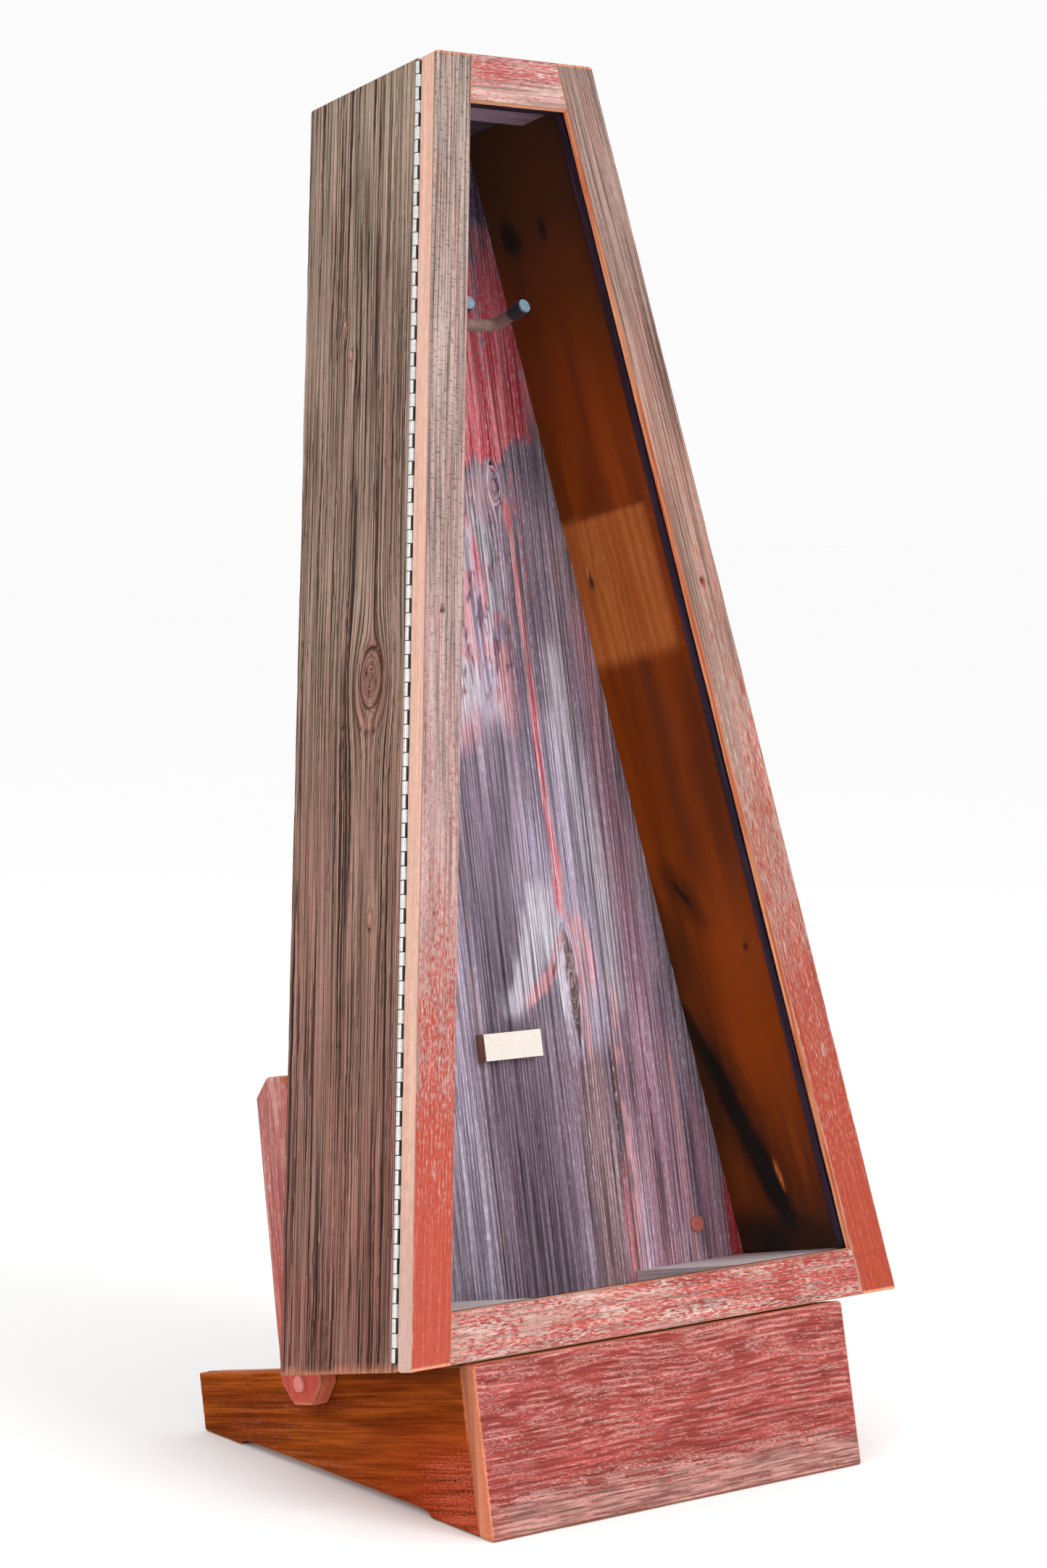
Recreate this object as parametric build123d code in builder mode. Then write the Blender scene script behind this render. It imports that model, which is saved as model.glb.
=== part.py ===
"""Leaning, tapered display case for a guitar, on a low floor stand.

All sizes are millimetres.  Row frame: +Z up, floor at Z = 0, the case front faces -Y,
origin on the floor under the middle of the object's bounding box.

The case is built in its own leaning frame (u, v, w): u to the right, v backwards
(square to the glass), w up along the lean.  w = 0 is the underside of the case and
v = 0 is the front face of the closed door.
"""
from build123d import *
import os
from math import sin, cos, tan, radians, degrees, atan2, hypot

os.makedirs("parts", exist_ok=True)

# ------------------------------------------------------------------ driving dimensions
LEAN = 12.6            # lean of the case from vertical, degrees
H = 1178.1             # length of the case along its lean
W_BOT = 577.0          # outside width at the underside
W_TOP = 187.1          # outside width at the top
T_BOARD = 19.0         # thickness of side, top, bottom and stand boards
T_BACK = 17.5          # thickness of the back planks
CASE_F = 26.5          # v of the case's front edges
CASE_B = 198.5         # v of the case's rear edges
BACK_F = CASE_B - T_BACK

DOOR_T = 20.1          # door frame thickness
STILE = 43.0           # stile width, square to the stile
RAIL_T = 45.3          # top rail width
RAIL_B = 44.6          # bottom rail width
LIP = 8.3              # wood in front of the glass
REBATE = 10.0          # glazing rebate width
GLASS = 3.0            # pane thickness

AXIS_V = 23.3          # hinge pin, midway in the gap between door and case
BARREL_R = 3.0
PIN_R = 1.20
PIN_BORE_R = 1.25
LEAF_T = 1.2
LEAF_W = 12.0
KNUCKLE = 12.7
KNUCKLES = 93

STAND_HALF = 219.5     # half the width over the stand's side boards
STAND_TOP = -3.0       # w of the side boards' top edges
STAND_REAR = 438.0     # v of the side boards' rear ends
FRONT_BOARD_F = 2.9    # v of the front board's face
FRONT_BOARD_B = 22.0
FLOOR_Z = 152.32       # height of the case frame's origin above the floor
CORNER_R = 4.5         # rounding of the door's outer corners and of the case's rear top corners
RELIEF = 5.5           # height of the shallow relief under each side board

ARM_T = 19.0
ARM_IN = STAND_HALF + 0.3   # arms swing just clear of the side boards
ARM_OUT = ARM_IN + ARM_T
ARM_HALF = 31.0
ARM_UP = 280.0         # from the pivot to the arm's top
ARM_DOWN = 19.5
ARM_TILT = 2.0         # degrees, the arm leans towards the case's back
ARM_CLIP = 19.0        # clipped corners
PIVOT_V, PIVOT_W = 239.5, -13.5
BOLT_R, BOLT_BORE_R = 3.15, 3.20

PLUG_R, PLUG_PROUD = 7.9, 3.5
PLUG_HOLE_R = 6.35

YOKE_W = 952.0         # swivel axis of the neck hanger
YOKE_V = 112.0

# ------------------------------------------------------------------ frames and helpers
S, C = sin(radians(LEAN)), cos(radians(LEAN))
TAPER = atan2((W_BOT - W_TOP) / 2, H)            # half angle of the case
K = (W_BOT - W_TOP) / 2 / H
ST, CT = sin(TAPER), cos(TAPER)
T_SLANT = T_BOARD / CT                            # side thickness measured along u
STILE_SLANT = STILE / CT

y_front = FRONT_BOARD_F * C + ((FRONT_BOARD_F * S - FLOOR_Z) / C) * S
y_rear = CASE_B * C + H * S
Y0 = -(y_front + y_rear) / 2                      # centres the object over the origin
ORIGIN = Vector(0, Y0, FLOOR_Z)
U, V, W = Vector(1, 0, 0), Vector(0, C, -S), Vector(0, S, C)


def at(u, v, w):
    """Row-frame point of case-frame coordinates."""
    return ORIGIN + U * u + V * v + W * w


def front_plane(v):
    """Sketch in (u, w) at depth v; extruding goes forwards (towards -v)."""
    return Plane(origin=at(0, v, 0), x_dir=U, z_dir=-V)


def side_plane(u):
    """Sketch in (v, w) at u; extruding goes to +u."""
    return Plane(origin=at(u, 0, 0), x_dir=V, z_dir=U)


def level_plane(w):
    """Sketch in (u, v) at height w; extruding goes up the lean."""
    return Plane(origin=at(0, 0, w), x_dir=U, z_dir=W)


def half(w):
    """Outside half width of the case at height w."""
    return W_BOT / 2 - K * w


def inner(w):
    """Inside half width of the case at height w."""
    return half(w) - T_SLANT


def w_inner(u):
    """Height at which the inside half width is u."""
    return (W_BOT / 2 - T_SLANT - u) / K


def floor_w(v):
    """w of the floor under depth v."""
    return (v * S - FLOOR_Z) / C


def from_row(y, z):
    """Case (v, w) of a point y in front of/behind the frame origin and z above the floor."""
    return (y * C - (z - FLOOR_Z) * S, y * S + (z - FLOOR_Z) * C)


def bore(plane, points, r, depth):
    """Cut round holes into the part being built."""
    with BuildSketch(plane) as holes:
        with Locations(*points):
            Circle(r)
    extrude(holes.sketch, amount=depth, mode=Mode.SUBTRACT)


# fastener positions shared by the pieces they pass through
RAIL_PLUG_U, RAIL_PLUG_W = 205.3, 79.2
RAIL_W0, RAIL_W1, RAIL_T_V = 44.0, 114.0, 38.0
ARM_SCREWS = [(222.0, 62.0), (222.0, 96.0)]       # (v, w)
BATTENS = {"middle": (560.0, 630.0, 150.0), "upper": (915.0, 985.0, 92.0)}
HANGER_SCREWS = [(0.0, YOKE_W + 27.0), (0.0, YOKE_W - 27.0)]
MAGNET_W = 640.0
SEAMS = (-196.0, -34.5, 127.0)                    # joints between back planks

# ================================================================== CASE CARCASS
for hand, s in (("left", -1), ("right", 1)):
    with BuildPart() as side:
        with BuildSketch(front_plane(CASE_B)):
            with BuildLine():
                Polyline((s * half(0), 0), (s * inner(0), 0), (s * inner(H), H),
                         (s * half(H), H), close=True)
            make_face()
        extrude(amount=CASE_B - CASE_F)
        fillet(side.edges().group_by(lambda e: e.center().dot(W))[-1].group_by(lambda e: e.center().dot(V))[-1], CORNER_R)
        long_edges = side.edges().filter_by(lambda e: e.length > 1000)
        chamfer(long_edges, 0.8)
        if hand == "right":
            bore(front_plane(CASE_F + 6.0), [(half(MAGNET_W) - 7.5, MAGNET_W)], 4.05, 10)
    side.part.label = f"side_{hand}"
    export_step(side.part, f"parts/side_{hand}.step")

with BuildPart() as top_panel:
    with BuildSketch(front_plane(CASE_B)):
        with BuildLine():
            Polyline((-inner(H - T_BOARD), H - T_BOARD), (inner(H - T_BOARD), H - T_BOARD),
                     (inner(H), H), (-inner(H), H), close=True)
        make_face()
    extrude(amount=CASE_B - CASE_F)
top_panel.part.label = "top_panel"
export_step(top_panel.part, "parts/top_panel.step")

with BuildPart() as bottom_panel:
    with BuildSketch(front_plane(CASE_B)):
        with BuildLine():
            Polyline((-inner(0), 0), (inner(0), 0), (inner(T_BOARD), T_BOARD),
                     (-inner(T_BOARD), T_BOARD), close=True)
        make_face()
    extrude(amount=CASE_B - CASE_F)
bottom_panel.part.label = "bottom_panel"
export_step(bottom_panel.part, "parts/bottom_panel.step")

# back planks: four boards side by side, cut to the taper
LOW, HIGH, G = T_BOARD, H - T_BOARD, 0.3
plank_outlines = {
    1: [(-inner(LOW), LOW), (SEAMS[0] - G, LOW), (SEAMS[0] - G, w_inner(-(SEAMS[0] - G)))],
    2: [(SEAMS[0] + G, LOW), (SEAMS[1] - G, LOW), (SEAMS[1] - G, HIGH), (-inner(HIGH), HIGH),
        (SEAMS[0] + G, w_inner(-(SEAMS[0] + G)))],
    3: [(SEAMS[1] + G, LOW), (SEAMS[2] - G, LOW), (SEAMS[2] - G, w_inner(SEAMS[2] - G)),
        (inner(HIGH), HIGH), (SEAMS[1] + G, HIGH)],
    4: [(SEAMS[2] + G, LOW), (inner(LOW), LOW), (SEAMS[2] + G, w_inner(SEAMS[2] + G))],
}
BATTEN_SCREWS = [(-120.0, 595.0), (-60.0, 595.0), (0.0, 595.0), (100.0, 595.0),
                 (-72.0, 950.0), (-45.0, 950.0), (40.0, 950.0), (72.0, 950.0)]   # (u, w)
for number, outline in plank_outlines.items():
    with BuildPart() as plank:
        with BuildSketch(front_plane(CASE_B)):
            with BuildLine():
                Polyline(*outline, close=True)
            make_face()
        extrude(amount=T_BACK)
        if number in (1, 4):
            u = -RAIL_PLUG_U if number == 1 else RAIL_PLUG_U
            bore(front_plane(CASE_B), [(u, RAIL_PLUG_W)], 2.45, 30)
            bore(front_plane(BACK_F + 9.0), [(u, RAIL_PLUG_W)], PLUG_HOLE_R + 0.02, 30)
        here = [p for p in BATTEN_SCREWS
                if {2: SEAMS[0] < p[0] < SEAMS[1], 3: SEAMS[1] < p[0] < SEAMS[2]}.get(number)]
        if here:
            bore(front_plane(CASE_B), here, 1.80, 12)
        if number == 3:
            # the hanger block stands over this plank and its neighbour
            bore(front_plane(BACK_F + 14.0), HANGER_SCREWS, 1.80, 30)
    plank.part.label = f"back_plank_{number}"
    export_step(plank.part, f"parts/back_plank_{number}.step")

for name, (lo, hi, reach) in BATTENS.items():
    with BuildPart() as batten:
        with BuildSketch(front_plane(CASE_B + T_BOARD)):
            with Locations((0, (lo + hi) / 2)):
                Rectangle(2 * reach, hi - lo)
        extrude(amount=T_BOARD)
        chamfer(batten.edges().group_by(lambda e: e.center().dot(V))[-1], 2.0)
        bore(front_plane(CASE_B + T_BOARD), [p for p in BATTEN_SCREWS if lo < p[1] < hi], 1.80, 30)
        bore(front_plane(CASE_B + T_BOARD), [p for p in BATTEN_SCREWS if lo < p[1] < hi], 3.55, 2.5)
    batten.part.label = f"back_batten_{name}"
    export_step(batten.part, f"parts/back_batten_{name}.step")

with BuildPart() as batten_screws:
    with BuildSketch(front_plane(CASE_B + T_BOARD - 0.1)):
        with Locations(*BATTEN_SCREWS):
            Circle(3.5)
    extrude(amount=2.4)
    with BuildSketch(front_plane(CASE_B + T_BOARD - 2.5)):
        with Locations(*BATTEN_SCREWS):
            Circle(1.75)
    extrude(amount=T_BOARD - 2.5 + 11.5)
batten_screws.part.label = "batten_screws"
export_step(batten_screws.part, "parts/batten_screws.step")

# cleat under the top, behind the door's head
CLEAT_T, CLEAT_B = 12.0, 95.0
with BuildPart() as top_cleat:
    with BuildSketch(front_plane(CLEAT_B)):
        w0, w1 = H - T_BOARD - CLEAT_T, H - T_BOARD
        with BuildLine():
            Polyline((-inner(w0), w0), (inner(w0), w0), (inner(w1), w1), (-inner(w1), w1), close=True)
        make_face()
    extrude(amount=CLEAT_B - CASE_F)
top_cleat.part.label = "top_cleat"
export_step(top_cleat.part, "parts/top_cleat.step")

# low blocks on the case floor, one at each side
BLOCK_TOP, BLOCK_IN = 43.7, 122.0
for hand, s in (("left", -1), ("right", 1)):
    with BuildPart() as floor_block:
        with BuildSketch(front_plane(BACK_F)):
            with BuildLine():
                Polyline((s * BLOCK_IN, T_BOARD), (s * inner(T_BOARD), T_BOARD),
                         (s * inner(BLOCK_TOP), BLOCK_TOP), (s * BLOCK_IN, BLOCK_TOP), close=True)
            make_face()
        extrude(amount=BACK_F - (CASE_F + 4))
    floor_block.part.label = f"floor_block_{hand}"
    export_step(floor_block.part, f"parts/floor_block_{hand}.step")

# felt-faced rest for the guitar's back
PAD = dict(u0=-38.4, u1=30.4, w0=258.0, w1=284.0)
REST_BLOCK, REST_FELT = 11.4, 1.6
with BuildPart() as rest_block:
    with BuildSketch(front_plane(BACK_F)):
        with Locations(((PAD["u0"] + PAD["u1"]) / 2, (PAD["w0"] + PAD["w1"]) / 2)):
            Rectangle(PAD["u1"] - PAD["u0"], PAD["w1"] - PAD["w0"])
    extrude(amount=REST_BLOCK)
rest_block.part.label = "rest_block"
export_step(rest_block.part, "parts/rest_block.step")

with BuildPart() as rest_pad:
    with BuildSketch(front_plane(BACK_F - REST_BLOCK)):
        with Locations(((PAD["u0"] + PAD["u1"]) / 2, (PAD["w0"] + PAD["w1"]) / 2)):
            RectangleRounded(PAD["u1"] - PAD["u0"], PAD["w1"] - PAD["w0"], 1.5)
    extrude(amount=REST_FELT)
rest_pad.part.label = "rest_pad"
export_step(rest_pad.part, "parts/rest_pad.step")

# soft strips in the gap between door and case (four lengths)
SEAL_V0 = DOOR_T + 0.3
with BuildPart() as front_seal:
    with BuildSketch(front_plane(CASE_F)):
        for s in (-1, 1):
            with BuildLine():
                o = half(0) - inner(0)
                Polyline((s * (half(12) - o + 7.0), 12), (s * (half(12) - o), 12),
                         (s * (half(H - 12) - o), H - 12), (s * (half(H - 12) - o + 7.0), H - 12),
                         close=True)
            make_face()
        with Locations((0, 16.0)):
            Rectangle(2 * (inner(16) - 1.0), 5.0)
        with Locations((0, H - 15.0)):
            Rectangle(2 * (inner(H - 12) - 0.6), 5.0)
    extrude(amount=CASE_F - SEAL_V0)
front_seal.part.label = "front_seal"
export_step(front_seal.part, "parts/front_seal.step")

# magnetic catch: a disc let into the case's right front edge, its strike in the door
with BuildPart() as catch_magnet:
    with BuildSketch(front_plane(CASE_F + 6.0)):
        with Locations((half(MAGNET_W) - 7.5, MAGNET_W)):
            Circle(4.0)
    extrude(amount=9.0)
    chamfer(catch_magnet.edges().group_by(lambda e: e.center().dot(V))[0], 0.5)
catch_magnet.part.label = "catch_magnet"
export_step(catch_magnet.part, "parts/catch_magnet.step")

# ================================================================== REAR RAIL AND ARMS
with BuildPart() as rear_rail:
    with BuildSketch(front_plane(CASE_B + RAIL_T_V)):
        with Locations((0, (RAIL_W0 + RAIL_W1) / 2)):
            Rectangle(2 * ARM_IN, RAIL_W1 - RAIL_W0)
    extrude(amount=RAIL_T_V)
    chamfer(rear_rail.edges().filter_by(Axis.X), 1.5)
    bore(front_plane(CASE_B + 30.0), [(-RAIL_PLUG_U, RAIL_PLUG_W), (RAIL_PLUG_U, RAIL_PLUG_W)], 2.45, 40)
    for s in (-1, 1):
        bore(side_plane(s * (ARM_IN - 33.0)), ARM_SCREWS, 2.25, s * 40)
rear_rail.part.label = "rear_rail"
export_step(rear_rail.part, "parts/rear_rail.step")

with BuildPart() as rail_screws:
    with BuildSketch(front_plane(BACK_F + 9.0)):
        with Locations((-RAIL_PLUG_U, RAIL_PLUG_W), (RAIL_PLUG_U, RAIL_PLUG_W)):
            Circle(5.5)
    extrude(amount=2.5)
    with BuildSketch(front_plane(CASE_B + 29.5)):
        with Locations((-RAIL_PLUG_U, RAIL_PLUG_W), (RAIL_PLUG_U, RAIL_PLUG_W)):
            Circle(2.4)
    extrude(amount=29.5 + T_BACK - 9.0)
rail_screws.part.label = "rail_screws"
export_step(rail_screws.part, "parts/rail_screws.step")

with BuildPart() as back_plugs:
    with BuildSketch(front_plane(BACK_F + 5.5)):
        with Locations((-RAIL_PLUG_U, RAIL_PLUG_W), (RAIL_PLUG_U, RAIL_PLUG_W)):
            Circle(PLUG_HOLE_R)
    extrude(amount=5.5)
    with BuildSketch(front_plane(BACK_F)):
        with Locations((-RAIL_PLUG_U, RAIL_PLUG_W), (RAIL_PLUG_U, RAIL_PLUG_W)):
            Circle(PLUG_R)
    extrude(amount=PLUG_PROUD)
    fillet(back_plugs.edges().group_by(lambda e: e.center().dot(V))[0], 1.6)
back_plugs.part.label = "back_plugs"
export_step(back_plugs.part, "parts/back_plugs.step")

a = radians(ARM_TILT)


def on_arm(x, h):
    """Case (v, w) of a point x behind and h above the arm's pivot, along the arm."""
    return (PIVOT_V + x * cos(a) - h * sin(a), PIVOT_W + x * sin(a) + h * cos(a))


arm_outline = [on_arm(*p) for p in (
    (-ARM_HALF + ARM_CLIP - 2, -ARM_DOWN), (ARM_HALF - ARM_CLIP + 2, -ARM_DOWN), (ARM_HALF, -ARM_DOWN + ARM_CLIP + 1),
    (ARM_HALF, ARM_UP - ARM_CLIP), (ARM_HALF - ARM_CLIP - 1, ARM_UP),
    (-ARM_HALF + ARM_CLIP + 1, ARM_UP), (-ARM_HALF, ARM_UP - ARM_CLIP), (-ARM_HALF, -ARM_DOWN + ARM_CLIP + 1))]
for hand, s in (("left", -1), ("right", 1)):
    with BuildPart() as arm:
        with BuildSketch(side_plane(s * ARM_IN)):
            with BuildLine():
                Polyline(*arm_outline, close=True)
            make_face()
        extrude(amount=s * ARM_T)
        chamfer(arm.edges().group_by(lambda e: e.center().X * s)[-1], 1.0)
        bore(side_plane(s * (ARM_IN - 1)), [(PIVOT_V, PIVOT_W)], BOLT_R + 0.02, s * 40)
        bore(side_plane(s * (ARM_OUT - 10)), [(PIVOT_V, PIVOT_W)], PLUG_HOLE_R + 0.02, s * 30)
        bore(side_plane(s * (ARM_IN - 1)), ARM_SCREWS, 2.25, s * 40)
        bore(side_plane(s * (ARM_OUT - 3)), ARM_SCREWS, 4.35, s * 30)
    arm.part.label = f"arm_{hand}"
    export_step(arm.part, f"parts/arm_{hand}.step")

with BuildPart() as arm_screws:
    for s in (-1, 1):
        with BuildSketch(side_plane(s * (ARM_OUT - 3))):
            with Locations(*ARM_SCREWS):
                Circle(4.3)
        extrude(amount=s * 2.9)
        with BuildSketch(side_plane(s * (ARM_IN - 32))):
            with Locations(*ARM_SCREWS):
                Circle(2.2)
        extrude(amount=s * (32 + ARM_T - 3))
arm_screws.part.label = "arm_screws"
export_step(arm_screws.part, "parts/arm_screws.step")

# pivot bolts through arm and side board, heads hidden under button plugs
NUT_T, WASHER_T = 5.5, 1.4
nut_face = STAND_HALF - T_BOARD - 0.3             # inner face of the side board, less running room
with BuildPart() as pivot_bolts:
    for s in (-1, 1):
        with BuildSketch(side_plane(s * (ARM_OUT - 10))):
            with Locations((PIVOT_V, PIVOT_W)):
                Circle(5.6)
        extrude(amount=s * 4.0)
        with BuildSketch(side_plane(s * (nut_face - WASHER_T - NUT_T - 2.5))):
            with Locations((PIVOT_V, PIVOT_W)):
                Circle(BOLT_R)
        extrude(amount=s * (ARM_OUT - 10 - (nut_face - WASHER_T - NUT_T - 2.5)))
pivot_bolts.part.label = "pivot_bolts"
export_step(pivot_bolts.part, "parts/pivot_bolts.step")

with BuildPart() as pivot_washers:
    for s in (-1, 1):
        with BuildSketch(side_plane(s * (nut_face - WASHER_T))):
            with Locations((PIVOT_V, PIVOT_W)):
                Circle(8.0)
                Circle(BOLT_R + 0.02, mode=Mode.SUBTRACT)
        extrude(amount=s * WASHER_T)
pivot_washers.part.label = "pivot_washers"
export_step(pivot_washers.part, "parts/pivot_washers.step")

with BuildPart() as pivot_nuts:
    for s in (-1, 1):
        with BuildSketch(side_plane(s * (nut_face - WASHER_T - NUT_T))):
            with Locations((PIVOT_V, PIVOT_W)):
                RegularPolygon(6.3, 6)
                Circle(BOLT_R + 0.02, mode=Mode.SUBTRACT)
        extrude(amount=s * NUT_T)
pivot_nuts.part.label = "pivot_nuts"
export_step(pivot_nuts.part, "parts/pivot_nuts.step")

with BuildPart() as arm_plugs:
    for s in (-1, 1):
        with BuildSketch(side_plane(s * (ARM_OUT - 5.5))):
            with Locations((PIVOT_V, PIVOT_W)):
                Circle(PLUG_HOLE_R)
        extrude(amount=s * 5.5)
        with BuildSketch(side_plane(s * ARM_OUT)):
            with Locations((PIVOT_V, PIVOT_W)):
                Circle(PLUG_R)
        extrude(amount=s * PLUG_PROUD)
    fillet(arm_plugs.edges().group_by(lambda e: abs(e.center().X))[-1], 1.6)
arm_plugs.part.label = "arm_plugs"
export_step(arm_plugs.part, "parts/arm_plugs.step")

# ================================================================== NECK HANGER
with BuildPart() as hanger_block:
    with BuildSketch(front_plane(BACK_F)):
        with Locations((0, YOKE_W)):
            RectangleRounded(48, 78, 5)
    extrude(amount=19.0)
    chamfer(hanger_block.edges().group_by(lambda e: e.center().dot(V))[0], 1.2)
    bore(front_plane(BACK_F - 4.0), [(0, YOKE_W)], 5.06, 30)
    bore(front_plane(BACK_F + 1.0), HANGER_SCREWS, 1.80, 30)
    bore(front_plane(BACK_F - 16.0), HANGER_SCREWS, 3.55, 10)
hanger_block.part.label = "hanger_block"
export_step(hanger_block.part, "parts/hanger_block.step")

with BuildPart() as hanger_screws:
    with BuildSketch(front_plane(BACK_F - 16.0)):
        with Locations(*HANGER_SCREWS):
            Circle(3.5)
    extrude(amount=2.6)
    with BuildSketch(front_plane(BACK_F + 13.5)):
        with Locations(*HANGER_SCREWS):
            Circle(1.75)
    extrude(amount=13.5 + 16.0)
hanger_screws.part.label = "hanger_screws"
export_step(hanger_screws.part, "parts/hanger_screws.step")

# bent rod: across behind the neck, then forwards and up at each end
TIP = (33.5, 68.0, 961.3)
BEND = (29.5, YOKE_V, YOKE_W)
path_points = [at(-TIP[0], TIP[1], TIP[2]), at(-BEND[0], BEND[1], BEND[2]),
               at(BEND[0], BEND[1], BEND[2]), at(*TIP)]
prong = (path_points[3] - path_points[2])
PRONG_L = prong.length
PRONG_D = prong.normalized()
SLEEVE_L, SLEEVE_R, PAD_R, ROD_R = 19.0, 7.2, 6.2, 4.0


def prong_dir(s):
    """Forward direction of the left (-1) or right (+1) prong."""
    return Vector(PRONG_D.X * s, PRONG_D.Y, PRONG_D.Z)


def prong_at(s, back):
    """Point on a prong's centre line, a distance back from its tip."""
    tip = path_points[3] if s > 0 else path_points[0]
    return tip - prong_dir(s) * back


with BuildPart() as yoke_arms:
    with BuildLine():
        FilletPolyline(prong_at(-1, 1.6), path_points[1], path_points[2], prong_at(1, 1.6), radius=13.0)
    with BuildSketch(Plane(origin=prong_at(-1, 1.6), z_dir=-prong_dir(-1))):
        Circle(ROD_R)
    sweep()
    bore(Plane(origin=at(0, YOKE_V + 8, YOKE_W), z_dir=-V), [(0, 0)], 3.02, 8)
yoke_arms.part.label = "yoke_arms"
export_step(yoke_arms.part, "parts/yoke_arms.step")

with BuildPart() as yoke_padding:
    with BuildLine():
        FilletPolyline(prong_at(-1, SLEEVE_L), path_points[1], path_points[2], prong_at(1, SLEEVE_L), radius=13.0)
    with BuildSketch(Plane(origin=prong_at(-1, SLEEVE_L), z_dir=-prong_dir(-1))):
        Circle(PAD_R)
        Circle(ROD_R, mode=Mode.SUBTRACT)
    sweep()
    bore(Plane(origin=at(0, YOKE_V + 10, YOKE_W), z_dir=-V), [(0, 0)], 5.02, 10)
yoke_padding.part.label = "yoke_padding"
export_step(yoke_padding.part, "parts/yoke_padding.step")

with BuildPart() as yoke_stem:
    with BuildSketch(front_plane(BACK_F - 4.5)):
        with Locations((0, YOKE_W)):
            Circle(5.0)
    extrude(amount=BACK_F - 4.5 - (YOKE_V + ROD_R + 0.1))
    with BuildSketch(front_plane(YOKE_V + ROD_R + 0.1)):
        with Locations((0, YOKE_W)):
            Circle(3.0)
    extrude(amount=4.0)
yoke_stem.part.label = "yoke_stem"
export_step(yoke_stem.part, "parts/yoke_stem.step")

with BuildPart() as yoke_sleeves:
    for s in (-1, 1):
        with BuildSketch(Plane(origin=prong_at(s, SLEEVE_L), z_dir=prong_dir(s))):
            Circle(SLEEVE_R)
            Circle(ROD_R + 0.02, mode=Mode.SUBTRACT)
        extrude(amount=SLEEVE_L - 1.5)
yoke_sleeves.part.label = "yoke_sleeves"
export_step(yoke_sleeves.part, "parts/yoke_sleeves.step")

with BuildPart() as yoke_end_discs:
    for s in (-1, 1):
        with BuildSketch(Plane(origin=prong_at(s, 1.45), z_dir=prong_dir(s))):
            Circle(6.5)
        extrude(amount=1.45)
yoke_end_discs.part.label = "yoke_end_discs"
export_step(yoke_end_discs.part, "parts/yoke_end_discs.step")

# ================================================================== DOOR
OPEN_LO, OPEN_HI = RAIL_B, H - RAIL_T             # sight size of the opening


def stile_in(w):
    """Half width of the door opening at height w."""
    return half(w) - STILE_SLANT


DOWEL_V = 10.0
dowels = [(DOWEL_V, w) for w in (10.0, 24.0, H - 10.0, H - 24.0)]
for hand, s in (("left", -1), ("right", 1)):
    with BuildPart() as stile:
        with BuildSketch(front_plane(DOOR_T)) as outline:
            with BuildLine():
                Polyline((s * half(0), 0), (s * stile_in(0), 0), (s * stile_in(H), H),
                         (s * half(H), H), close=True)
            make_face()
            fillet(outline.vertices().filter_by(lambda p: abs(abs(p.X) - half(p.Y)) < 0.1), CORNER_R)
        extrude(amount=DOOR_T)
        chamfer(stile.edges().filter_by(lambda e: e.length > 1000).group_by(lambda e: e.center().dot(V))[0], 0.8)
        with BuildSketch(front_plane(DOOR_T)):
            with BuildLine():
                lo, hi = OPEN_LO - REBATE, OPEN_HI + REBATE
                Polyline((s * stile_in(lo), lo), (s * (stile_in(lo) + REBATE), lo),
                         (s * (stile_in(hi) + REBATE), hi), (s * stile_in(hi), hi), close=True)
            make_face()
        extrude(amount=DOOR_T - LIP, mode=Mode.SUBTRACT)
        for v, w in dowels:
            bore(side_plane(s * (stile_in(w) - 1)), [(v, w)], 4.02, s * 21)
        if hand == "right":
            bore(front_plane(DOOR_T), [(half(MAGNET_W) - 7.5, MAGNET_W)], 4.05, 4.0)
    stile.part.label = f"stile_{hand}"
    export_step(stile.part, f"parts/stile_{hand}.step")

with BuildPart() as rail_top:
    with BuildSketch(front_plane(DOOR_T)):
        with BuildLine():
            Polyline((-stile_in(OPEN_HI), OPEN_HI), (stile_in(OPEN_HI), OPEN_HI),
                     (stile_in(H), H), (-stile_in(H), H), close=True)
        make_face()
    extrude(amount=DOOR_T)
    with BuildSketch(front_plane(DOOR_T)):
        with Locations((0, OPEN_HI + REBATE / 2)):
            Rectangle(400, REBATE)
    extrude(amount=DOOR_T - LIP, mode=Mode.SUBTRACT)
    for s in (-1, 1):
        for v, w in dowels[2:]:
            bore(side_plane(s * (stile_in(w) - 20)), [(v, w)], 4.02, s * 30)
rail_top.part.label = "rail_top"
export_step(rail_top.part, "parts/rail_top.step")

with BuildPart() as rail_bottom:
    with BuildSketch(front_plane(DOOR_T)):
        with BuildLine():
            Polyline((-stile_in(0), 0), (stile_in(0), 0),
                     (stile_in(OPEN_LO), OPEN_LO), (-stile_in(OPEN_LO), OPEN_LO), close=True)
        make_face()
    extrude(amount=DOOR_T)
    with BuildSketch(front_plane(DOOR_T)):
        with Locations((0, OPEN_LO - REBATE / 2)):
            Rectangle(700, REBATE)
    extrude(amount=DOOR_T - LIP, mode=Mode.SUBTRACT)
    for s in (-1, 1):
        for v, w in dowels[:2]:
            bore(side_plane(s * (stile_in(w) - 20)), [(v, w)], 4.02, s * 30)
rail_bottom.part.label = "rail_bottom"
export_step(rail_bottom.part, "parts/rail_bottom.step")

with BuildPart() as rail_dowels:
    for s in (-1, 1):
        for v, w in dowels:
            with BuildSketch(side_plane(s * (stile_in(w) - 19))):
                with Locations((v, w)):
                    Circle(4.0)
            extrude(amount=s * 38)
rail_dowels.part.label = "rail_dowels"
export_step(rail_dowels.part, "parts/rail_dowels.step")

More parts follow.
